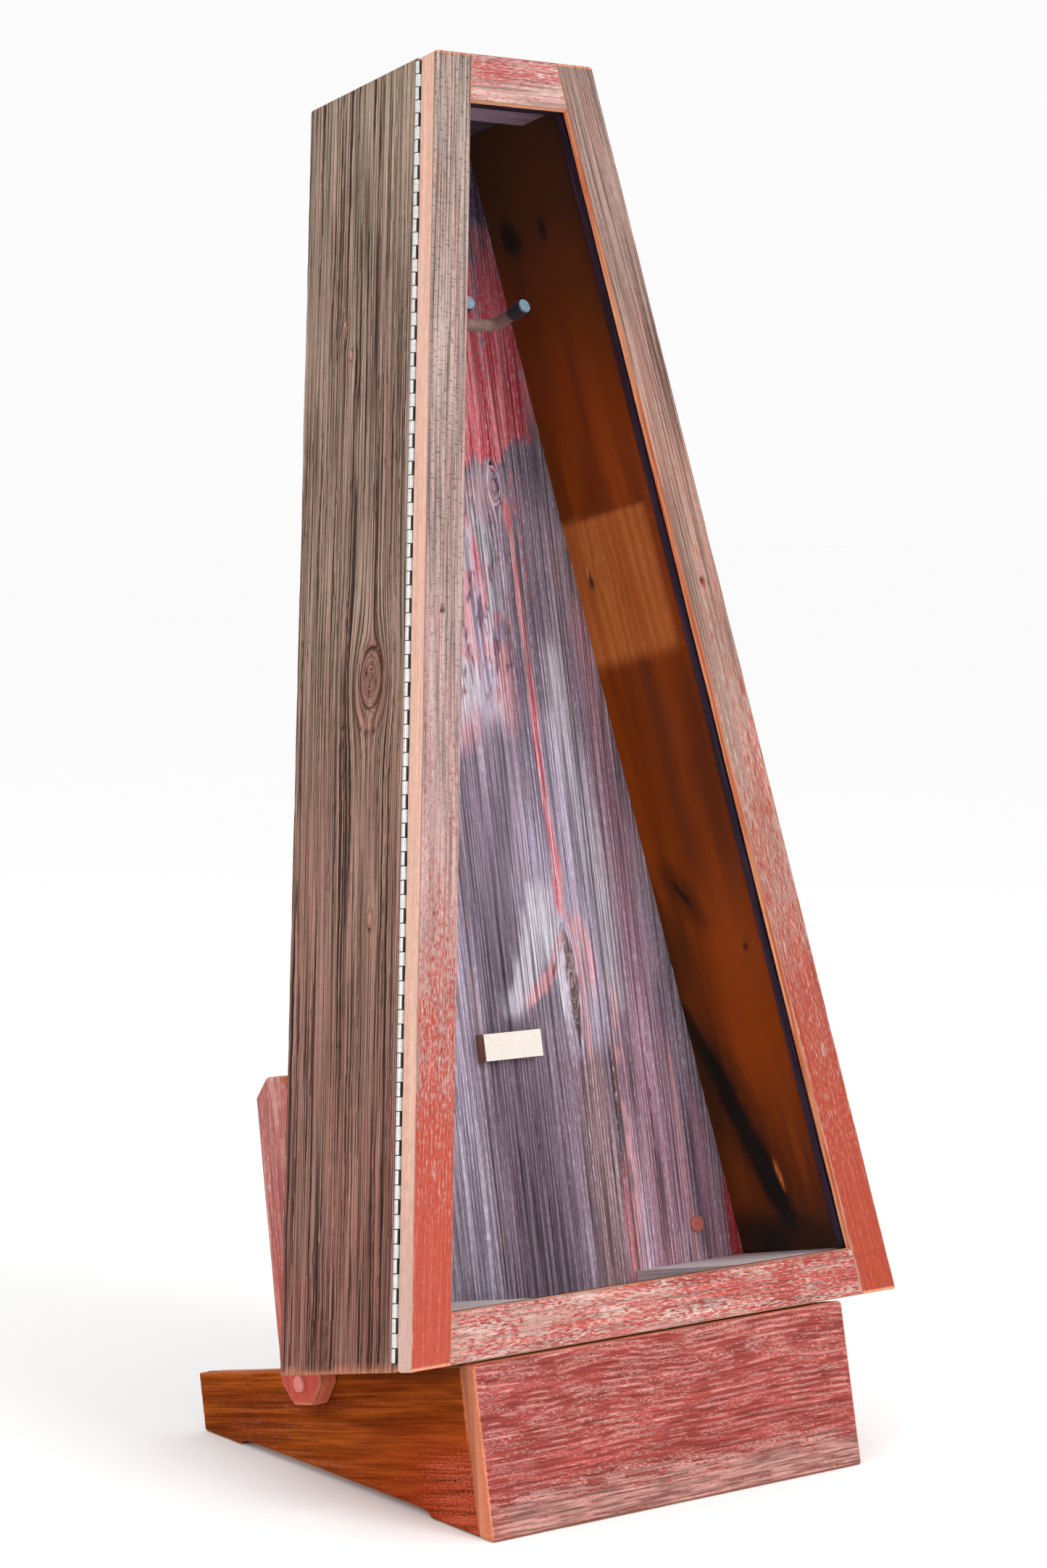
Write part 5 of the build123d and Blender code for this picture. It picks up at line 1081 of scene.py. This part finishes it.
def look_arm(c):
    l1, l2, l3, g, groove, crack = fields(c, 2.6, 70)
    red, pink, pale, orange = rgb(186, 74, 58), rgb(178, 100, 94), rgb(212, 166, 158), rgb(214, 122, 90)
    up = ss(20, 150, c.s)
    col = mix(red, pink, up)
    col = mix(col, pale, ss(0.0, 0.7, fbm(c.x / 7, c.s / 70, c.seed + 40, 3) - 0.2 * g) * (0.10 + 0.45 * up))
    col = mix(col, rgb(120, 48, 42), groove * 0.22)
    c.line = 0.15 + 0.45 * up
    c.fleck = 0.5 * up
    col = arris(c, col, rgb(236, 168, 138), 0.85, 2.2, 0.8)
    edge = (c.side == 1) | (c.side == 3) | (c.cap > 0.5)
    oc = mix(orange, rgb(200, 104, 78), ss(-0.5, 0.5, fbm(c.b / 3, c.s / 50, c.seed + 42, 3)))
    col = np.where(edge[..., None], arris(c, oc, rgb(236, 168, 138), 0.6, 1.6, 0.5), col)
    c.line = np.where(edge, 0.15, c.line)
    c.fleck = np.where(edge, 0.0, c.fleck)
    return col, 0.55 + 0.1 * groove, (0.20 * groove + 0.05 * (l1 + 1)) * filled(c, (222.0, 62.0), (222.0, 96.0))


for hand, sgn in (("left", -1), ("right", 1)):
    board(f"v_arm_{hand}", f"arm_{hand}", "case", M_PAINT, look_arm, (sgn * 238.8, 239.5, -13.5), HD, XD, (sgn, 0, 0),
          rect(19.0), 62.0, lambda a, b: (-19.5, 280.0), arm_half, ds=4.0, radius=1.8, side_steps=[1.5, 1.6, 3, 1.6], mode=2,
          extra_rows=[20.0, 280.5], seed=740 + sgn)

# plain softwood behind and inside the stand
def soft_look(c):
    l1, l2, l3, g, groove, crack = fields(c, 3.2, 140)
    tone = fbm(c.x / 10, c.s / 140, c.seed + 40, 3)
    col = mix(rgb(204, 168, 128), rgb(178, 138, 98), ss(-0.4, 0.5, tone + 0.5 * g))
    col = arris(c, col, rgb(224, 190, 150), 0.4, 1.8, 0.6)
    c.line = 0.25 + 0 * g
    return col, 0.7 + 0 * g, 0.10 * groove


board("v_rear_rail", "rear_rail", "case", M_PALE, soft_look, (0, 236.5, 0), (1, 0, 0), (0, 0, 1), (0, 1, 0), rect(38.0), 70.0,
      lambda a, b: (-219.8 + 0 * a, 219.8 + 0 * a), lambda s, b: (44.0, 114.0), ds=6, radius=1.8, step=2.0, seed=800)
for nm, lo_, hi_, reach in (("middle", 560.0, 630.0, 150.0), ("upper", 915.0, 985.0, 92.0)):
    board(f"v_batten_{nm}", f"back_batten_{nm}", "case", M_PALE, soft_look, (0, 217.35, 0), (1, 0, 0), (0, 0, 1), (0, 1, 0),
          rect(18.85), 70.0, lambda a, b, r=reach: (-r + 0 * a, r + 0 * a), lambda s, b, l=lo_, h=hi_: (l, h), ds=6, radius=1.8, step=2.0, seed=810)
board("v_stretcher", "stand_rear_stretcher", "stand", M_PALE, soft_look, (0, 399.0, 0), (1, 0, 0), (0, 0, 1), (0, 1, 0), rect(19.0), 30.0,
      lambda a, b: (-200.4 + 0 * a, 200.4 + 0 * a), lambda s, b: (floor_w(399.0 + b) + 3.2, -30.0 + 0 * b), ds=6, radius=1.5, step=2.0, seed=820)

# ------------------------------------------------------------------ soft pieces
def soft_mat(name, c0, c1, grain=1500.0, rough=(0.85, 1.0), bump_d=0.0005, sheen=0.3, spec=0.2, specks=None):
    """Felt, foam or rubber: mottled fibres at two scales with a fuzzy bump."""
    m, nt, bsdf, out = new_mat(name)
    tc = nt.nodes.new("ShaderNodeTexCoord")
    v = tc.outputs["Object"]
    f = noise(nt, scaled(nt, v, (grain * 0.18,) * 3), 1.0, 5.0, 0.65, 0.6)
    f2 = noise(nt, scaled(nt, v, (grain,) * 3), 1.0, 3.0, 0.6, 1.2)
    base = blend_col(nt, "MIX", remap(nt, f, 0.34, 0.66, 0.0, 1.0), tuple(rgb(*c0)) + (1.0,), tuple(rgb(*c1)) + (1.0,))
    base = blend_col(nt, "MULTIPLY", 1.0, base, remap(nt, f2, 0.3, 0.7, 0.88, 1.08))
    if specks:
        f3 = noise(nt, scaled(nt, v, (grain * 0.45,) * 3), 1.0, 2.0, 0.5)
        base = blend_col(nt, "MIX", remap(nt, f3, 0.66, 0.72, 0.0, 0.6), base, tuple(rgb(*specks)) + (1.0,))
    nt.links.new(base, bsdf.inputs["Base Color"])
    nt.links.new(remap(nt, f2, 0.3, 0.7, rough[0], rough[1]), bsdf.inputs["Roughness"])
    bump(nt, bsdf, maths(nt, "ADD", f2, maths(nt, "MULTIPLY", f, 0.6)), 0.8, bump_d)
    bsdf.inputs["Sheen Weight"].default_value = sheen
    bsdf.inputs["Specular IOR Level"].default_value = spec
    return m


M_PAD = soft_mat("rest_felt", (250, 234, 224), (255, 246, 240), 1400.0, sheen=0.2, bump_d=0.0004, specks=(232, 208, 194))
M_STRIP = soft_mat("stand_felt", (70, 58, 56), (96, 82, 78), 1500.0)
M_FOAM = soft_mat("yoke_foam", (118, 88, 84), (150, 116, 110), 1100.0, (0.6, 0.85), 0.0003, 0.15, 0.35)
M_RUBBER = soft_mat("yoke_rubber", (16, 15, 22), (30, 28, 38), 900.0, (0.42, 0.62), 0.00015, 0.05, 0.4)
M_SEAL = soft_mat("seal_foam", (38, 28, 44), (58, 44, 62), 1300.0, (0.7, 0.9), 0.0004)


def plain_look(c):
    return np.ones(c.a.shape + (3,)) * 0.5, 0.9 + 0 * c.a, 0.10 * (fbm(c.a / 2.1, c.s / 2.3, c.seed + 3, 3) + 1)


def crown(mid, half_w, rise, thick):
    """Pillow the face: it drops towards its four edges."""
    def mod(a, b, s, side, lim=None):
        e = np.clip(1 - ((a - mid[0]) / half_w[0]) ** 4, 0, 1) * np.clip(1 - ((s - mid[1]) / half_w[1]) ** 4, 0, 1)
        top = ss(-thick, 0.0, b)
        ragged = 0.22 * n2(s / 0.9, a / 0.9, 5)
        a = np.where(side == 1, a - 0.25 + ragged, np.where(side == 3, a + 0.25 - ragged, a))
        return a, b - rise * (1 - e) * top
    return mod


pad = board("v_rest_pad", "rest_pad", "case", M_PAD, plain_look, (-4.0, 168.0, 258.0), (1, 0, 0), (0, 0, 1), (0, -1, 0), rect(1.6), 26.0,
            lambda a, b: (-34.4 + 0 * a, 34.4 + 0 * a), lambda s, b: (0.0, 26.0), ds=0.8, radius=0.55, side_steps=[0.8, 0.6, 3, 0.6],
            mod=crown((13.0, 0.0), (13.0, 34.4), 0.30, 1.6), seed=901, wobble=0.0)
for hand, sgn in (("left", -1), ("right", 1)):
    strip = board(f"v_rest_felt_{hand}", "rest_felts", "stand", M_STRIP, plain_look, (sgn * 210.0, 0, -0.15), (0, 1, 0), (1, 0, 0), (0, 0, 1),
                  rect(2.8), 15.0, lambda a, b: (55.0 + 0 * a, 185.0 + 0 * a), lambda s, b: (-7.5, 7.5), ds=1.6, radius=0.8,
                  side_steps=[1.0, 0.9, 3, 0.9], mod=crown((0.0, 120.0), (7.5, 65.0), 0.30, 2.8), seed=910, wobble=0.0)
SEAL = [(0, 0, 0), (1, 0, 0), (1, 0, -6.0), (0, 0, -6.0)]
for hand, sgn, UPv, INv in (("left", -1, UP_L, IN_L), ("right", 1, UP_R, IN_R)):
    q0 = np.array([sgn * (half(0) - (half(0) - inner(0)) + 0.0), 0, 0])
    board(f"v_seal_{hand}", "front_seal", "case", M_SEAL, plain_look, q0, UPv, -INv, (0, -1, 0),
          [(0, 0, -20.45), (1, 0, -20.45), (1, 0, -26.45), (0, 0, -26.45)], 6.8, lambda a, b: (12.5 / CT + 0 * a, (H - 12.5) / CT + 0 * a),
          lambda s, b: (0.0, 6.8), ds=14.0, radius=2.2, step=2.0, seed=930, wobble=0.15)
board("v_seal_bottom", "front_seal", "case", M_SEAL, plain_look, (0, 0, 13.5), (1, 0, 0), (0, 0, 1), (0, -1, 0),
      [(0, 0, -20.45), (1, 0, -20.45), (1, 0, -26.45), (0, 0, -26.45)], 5.0, lambda a, b: (-inner(16) + 1.2 + 0 * a, inner(16) - 1.2 + 0 * a),
      lambda s, b: (0.0, 5.0), ds=14.0, radius=2.0, step=2.0, seed=932, wobble=0.15)
board("v_seal_top", "front_seal", "case", M_SEAL, plain_look, (0, 0, H - 17.5), (1, 0, 0), (0, 0, 1), (0, -1, 0),
      [(0, 0, -20.45), (1, 0, -20.45), (1, 0, -26.45), (0, 0, -26.45)], 5.0, lambda a, b: (-inner(H - 12) + 0.8 + 0 * a, inner(H - 12) - 0.8 + 0 * a),
      lambda s, b: (0.0, 5.0), ds=14.0, radius=2.0, step=2.0, seed=934, wobble=0.15)


def rounded_path(points, radius, step):
    """Straight runs joined by tangent arcs."""
    P = [np.array(p, float) for p in points]
    out = [P[0]]
    for i in range(1, len(P) - 1):
        d0, d1 = P[i] - P[i - 1], P[i + 1] - P[i]
        d0, d1 = d0 / np.linalg.norm(d0), d1 / np.linalg.norm(d1)
        turn = math.acos(float(np.clip(d0 @ d1, -1, 1)))
        cut = radius * math.tan(turn / 2)
        a, b = P[i] - d0 * cut, P[i] + d1 * cut
        nrm = d1 - d0 * (d0 @ d1)
        nrm /= np.linalg.norm(nrm)
        centre = a + nrm * radius
        k = max(3, int(turn * radius / step))
        for q in range(k + 1):
            t = turn * q / k
            out.append(centre + radius * (-nrm * math.cos(t) + d0 * math.sin(t)))
    out.append(P[-1])
    fine = [out[0]]
    for p, q in zip(out[:-1], out[1:]):
        k = max(1, int(np.linalg.norm(q - p) / step))
        fine += [p + (q - p) * (j + 1) / k for j in range(k)]
    return np.array(fine)


def tube(paths, radius, end_r, segs=36, squeeze=None, rough=0.06, seed=0):
    """Closed soft tubes along paths (case millimetres); returns points and faces."""
    co, quads, caps = [], [], []
    for path in paths:
        n0 = len(path)
        seglen = np.concatenate([[0], np.cumsum(np.linalg.norm(np.diff(path, axis=0), axis=1))])
        total = seglen[-1]
        ts = [0, end_r * 0.08, end_r * 0.3, end_r * 0.65, end_r]
        ts = np.array(ts + list(np.arange(end_r + 1.2, total - end_r - 0.6, 1.2)) + [total - t for t in reversed(ts)])
        mid = np.stack([np.interp(ts, seglen, path[:, k]) for k in range(3)], 1)
        tan = np.gradient(mid, axis=0)
        tan /= np.linalg.norm(tan, axis=1)[:, None]
        side_ = np.cross(tan, np.array([0, 0.0, 1.0]))
        side_ /= np.linalg.norm(side_, axis=1)[:, None]
        up_ = np.cross(side_, tan)
        e = np.minimum(ts, total - ts)
        r = radius - (end_r - np.sqrt(np.maximum(end_r ** 2 - (end_r - np.minimum(e, end_r)) ** 2, 0)))
        if squeeze:
            r = r + squeeze(ts / total)
        th = np.linspace(0, 2 * np.pi, segs, endpoint=False)
        R, T = r[:, None] * np.ones((1, segs)), ts[:, None] * np.ones((1, segs))
        R = R - rough * (1 + fbm(T / 3.0, 4 * np.sin(th)[None, :] + 2 * np.cos(th)[None, :], seed, 3))
        p = mid[:, None] + R[..., None] * (np.cos(th)[None, :, None] * side_[:, None] + np.sin(th)[None, :, None] * up_[:, None])
        base = sum(len(c) for c in co)
        idx = base + np.arange(len(ts) * segs).reshape(len(ts), segs)
        quads.append(np.stack([idx[:-1], np.roll(idx, -1, 1)[:-1], np.roll(idx, -1, 1)[1:], idx[1:]], -1).reshape(-1, 4))
        caps += [idx[0][::-1].tolist(), idx[-1].tolist()]
        co.append(p.reshape(-1, 3))
    return np.concatenate(co), np.concatenate(quads), caps


def tube_piece(name, node, body, slot, material, paths, radius, end_r, **kw):
    co, q, caps = tube(paths, radius, end_r, **kw)
    rowp = to_row(co)
    v = [rowp[q[:, k]] for k in range(4)]
    c0 = rowp.mean(0)
    vol = np.einsum("ij,ij->i", v[0] - c0, np.cross(v[1] - c0, v[2] - c0)).sum()
    # each tube is closed on itself, so the sign of its volume tells which way its faces look
    first = rowp[: q.max() + 1]
    if signed(rowp, q, caps) < 0:
        q, caps = q[:, ::-1], [g[::-1] for g in caps]
    obj = build(name, rowp, q, caps, {}, [material])
    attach(obj, body)
    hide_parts(node)
    return obj


def signed(p, q, caps):
    t = np.einsum("ij,ij->i", p[q[:, 0]], np.cross(p[q[:, 1]], p[q[:, 2]])).sum() + np.einsum("ij,ij->i", p[q[:, 0]], np.cross(p[q[:, 2]], p[q[:, 3]])).sum()
    for g in caps:
        for k in range(1, len(g) - 1):
            t += float(p[g[0]] @ np.cross(p[g[k]], p[g[k + 1]]))
    return t


TIP, BEND = np.array([33.5, 68.0, 961.3]), np.array([29.5, 112.0, 952.0])
PD = (TIP - BEND) / np.linalg.norm(TIP - BEND)
FLIP = np.array([-1.0, 1.0, 1.0])
foam_path = rounded_path([(TIP - PD * 19.05) * FLIP, BEND * FLIP, BEND, TIP - PD * 19.05], 13.0, 0.8)
foam = tube_piece("v_yoke_foam", "yoke_padding", "yoke", "yoke_foam", M_FOAM, [foam_path], 6.22, 0.6,
                  squeeze=lambda t: -0.14 * np.cos(t * 2 * np.pi) ** 2, rough=0.05, seed=11)
tips = []
for f_ in (FLIP, np.ones(3)):
    tips.append(np.array([(TIP - PD * k) * f_ for k in np.linspace(18.95, 1.55, 24)]))
tube_piece("v_yoke_sleeves", "yoke_sleeves", "yoke", "yoke_rubber", M_RUBBER, tips, 7.2, 0.9,
           squeeze=lambda t: -0.10 * np.sin(t * np.pi), rough=0.015, seed=12)

# ------------------------------------------------------------------ materials on carried-over CAD nodes
def give(nodes, mat):
    for n in nodes:
        if n in NODES:
            me = NODES[n].data
            me.materials.clear()
            me.materials.append(mat)


def hinge_joints(mat, knuckle_gap_shadow=False):
    """Dark joint between neighbouring knuckles, every 12.7 mm up the edge."""
    nt = mat.node_tree
    bsdf = next(n for n in nt.nodes if n.type == "BSDF_PRINCIPLED")
    tc = nt.nodes.new("ShaderNodeTexCoord")
    up = np.array([ST, 0, CT]) @ FRAME.T
    foot = to_row(np.array([-half(0), 23.0, 0]) + np.array([ST, 0, CT]) * 8.0)
    dot = nt.nodes.new("ShaderNodeVectorMath")
    dot.operation = "DOT_PRODUCT"
    nt.links.new(tc.outputs["Object"], dot.inputs[0])
    dot.inputs[1].default_value = tuple(float(k) for k in up)
    t = maths(nt, "MULTIPLY", maths(nt, "SUBTRACT", dot.outputs["Value"], float(foot @ up)), 1000.0 / 12.7)
    fr = maths(nt, "ABSOLUTE", maths(nt, "SUBTRACT", maths(nt, "FRACT", maths(nt, "ADD", t, 0.5), 0.0), 0.5), 0.0)
    gap = remap(nt, fr, 0.028, 0.045, 0.06, 1.0)
    if knuckle_gap_shadow:
        # painted shadow: black shade in the gap between these knuckles and the edge of the door
        side = nt.nodes.new("ShaderNodeVectorMath")
        side.operation = "DOT_PRODUCT"
        nt.links.new(tc.outputs["Object"], side.inputs[0])
        back = np.array([0, 1.0, 0]) @ FRAME.T
        side.inputs[1].default_value = tuple(float(k) for k in back)
        edge = float(to_row(np.array([0, 20.75, 0])) @ back)
        painted_gap_shadow = remap(nt, side.outputs["Value"], edge - 0.00010, edge + 0.00015, 0.05, 1.0)
        gap = maths(nt, "MULTIPLY", gap, painted_gap_shadow)
    src = bsdf.inputs["Base Color"].links[0].from_socket
    nt.links.new(blend_col(nt, "MULTIPLY", 1.0, src, gap), bsdf.inputs["Base Color"])
    return mat


STEEL = ((196, 197, 196), (224, 225, 222), (300, 300, 300), (0.30, 0.48))
M_STEEL = hinge_joints(solid_mat("hinge_steel", *STEEL, metal=0.55, bump_d=0.00005))
# the case leaves also get the painted shadow in the gap by the door
M_STEEL_CASE = hinge_joints(solid_mat("hinge_steel_case", *STEEL, metal=0.55, bump_d=0.00005), knuckle_gap_shadow=True)
M_BOLT = solid_mat("fastener_steel", (150, 150, 150), (190, 188, 184), (500, 500, 500), (0.3, 0.5), metal=0.95, bump_d=0.00005)
M_ROD = solid_mat("yoke_steel", (52, 50, 50), (74, 70, 68), (200, 200, 200), (0.3, 0.5), metal=0.6, bump_d=0.00005)
M_DISC = solid_mat("yoke_disc", (92, 120, 142), (140, 164, 180), (420, 420, 420), (0.3, 0.5), bump_d=0.0002)
M_PLUG = solid_mat("button_plug", (196, 104, 98), (214, 124, 114), (160, 160, 900), (0.35, 0.55), bump_d=0.0001)
M_SOFT = solid_mat("plain_softwood", (190, 150, 110), (214, 178, 140), (14, 160, 160), (0.6, 0.8), bump_d=0.0003)
give(["hinge_leaf_door", "hinge_pin"], M_STEEL)
give(["hinge_leaf_case"], M_STEEL_CASE)
give(["hinge_screws_case", "hinge_screws_door", "batten_screws", "rail_screws", "arm_screws", "pivot_bolts", "pivot_washers", "pivot_nuts",
      "stretcher_screws", "corner_block_screws", "hanger_screws", "bead_brads", "catch_magnet", "catch_strike"], M_BOLT)
give(["yoke_arms", "yoke_stem"], M_ROD)
give(["yoke_end_discs"], M_DISC)
give(["back_plugs", "arm_plugs"], M_PLUG)
give(["hanger_block", "stand_corner_blocks", "rail_dowels"], M_SOFT)

# glass: clear, with only the faint mirror of a flat pane
mg, nt, bsdf, out = new_mat("pane_glass")
nt.nodes.remove(bsdf)
tr = nt.nodes.new("ShaderNodeBsdfTransparent")
tr.inputs["Color"].default_value = (0.985, 0.99, 0.985, 1)
gl = nt.nodes.new("ShaderNodeBsdfGlossy")
gl.inputs["Roughness"].default_value = 0.02
lw = nt.nodes.new("ShaderNodeFresnel")
lw.inputs["IOR"].default_value = 1.10
mx = nt.nodes.new("ShaderNodeMixShader")
tcg = nt.nodes.new("ShaderNodeTexCoord")
smear = noise(nt, scaled(nt, tcg.outputs["Object"], (9.0, 9.0, 5.0)), 1.0, 3.0, 0.5)
nt.links.new(maths(nt, "MULTIPLY", lw.outputs[0], remap(nt, smear, 0.3, 0.7, 0.79, 0.81)), mx.inputs[0])
nt.links.new(tr.outputs[0], mx.inputs[1])
nt.links.new(gl.outputs[0], mx.inputs[2])
nt.links.new(mx.outputs[0], out.inputs["Surface"])
give(["glass_pane"], mg)

# ------------------------------------------------------------------ stage, light, camera
def floor():
    n = 24
    size = 40.0
    xs = np.linspace(-size, size, n)
    co = np.array([(x, y, -0.0006) for y in xs for x in xs])
    idx = np.arange(n * n).reshape(n, n)
    q = np.stack([idx[:-1, :-1], idx[:-1, 1:], idx[1:, 1:], idx[1:, :-1]], -1).reshape(-1, 4)
    me = bpy.data.meshes.new("floor")
    me.from_pydata(co.tolist(), [], q.tolist())
    ob = bpy.data.objects.new("floor", me)
    bpy.context.scene.collection.objects.link(ob)
    mf, nt, bsdf, out = new_mat("floor_pale")
    tc = nt.nodes.new("ShaderNodeTexCoord")
    f = noise(nt, scaled(nt, tc.outputs["Object"], (0.7, 0.7, 0.7)), 1.0, 2.0, 0.5)
    nt.links.new(blend_col(nt, "MIX", f, (0.985, 0.985, 0.985, 1.0), (0.995, 0.995, 0.995, 1.0)), bsdf.inputs["Base Color"])
    bsdf.inputs["Roughness"].default_value = 0.9
    bsdf.inputs["Specular IOR Level"].default_value = 0.0
    me.materials.append(mf)


floor()
world = bpy.data.worlds.new("studio")
bpy.context.scene.world = world
world.use_nodes = True
bg = world.node_tree.nodes["Background"]
bg.inputs["Color"].default_value = (1.0, 1.0, 1.0, 1)
bg.inputs["Strength"].default_value = 0.97


def area(name, loc, target, size, power, color=(1, 1, 1)):
    li = bpy.data.lights.new(name, "AREA")
    li.shape = "RECTANGLE"
    li.size, li.size_y = size
    li.energy = power
    li.color = color
    ob = bpy.data.objects.new(name, li)
    bpy.context.scene.collection.objects.link(ob)
    ob.location = loc
    ob.rotation_mode = "QUATERNION"
    ob.rotation_quaternion = (Vector(target) - Vector(loc)).to_track_quat("-Z", "Y")


area("key", (0.6, -3.2, 2.4), (0, 0, 0.6), (1.8, 1.8), 60)
area("fill", (-3.2, -1.2, 1.8), (0, 0, 0.6), (1.6, 1.6), 22)

cam = bpy.data.cameras.new("cam")
cam.lens = 82.447596
cam.sensor_width = 36.0
cam.clip_start, cam.clip_end = 0.05, 60.0
cob = bpy.data.objects.new("cam", cam)
bpy.context.scene.collection.objects.link(cob)
cob.matrix_world = Matrix((
    (0.7801624545, 0.0366403517, -0.6245030258, -2.10357783),
    (-0.6252516911, 0.0778591446, -0.7765296365, -2.60369011),
    (0.0201709524, 0.9962908402, 0.0836522233, 0.90901689),
    (0, 0, 0, 1)))
bpy.context.scene.camera = cob
bpy.context.scene.view_settings.view_transform = "Standard"
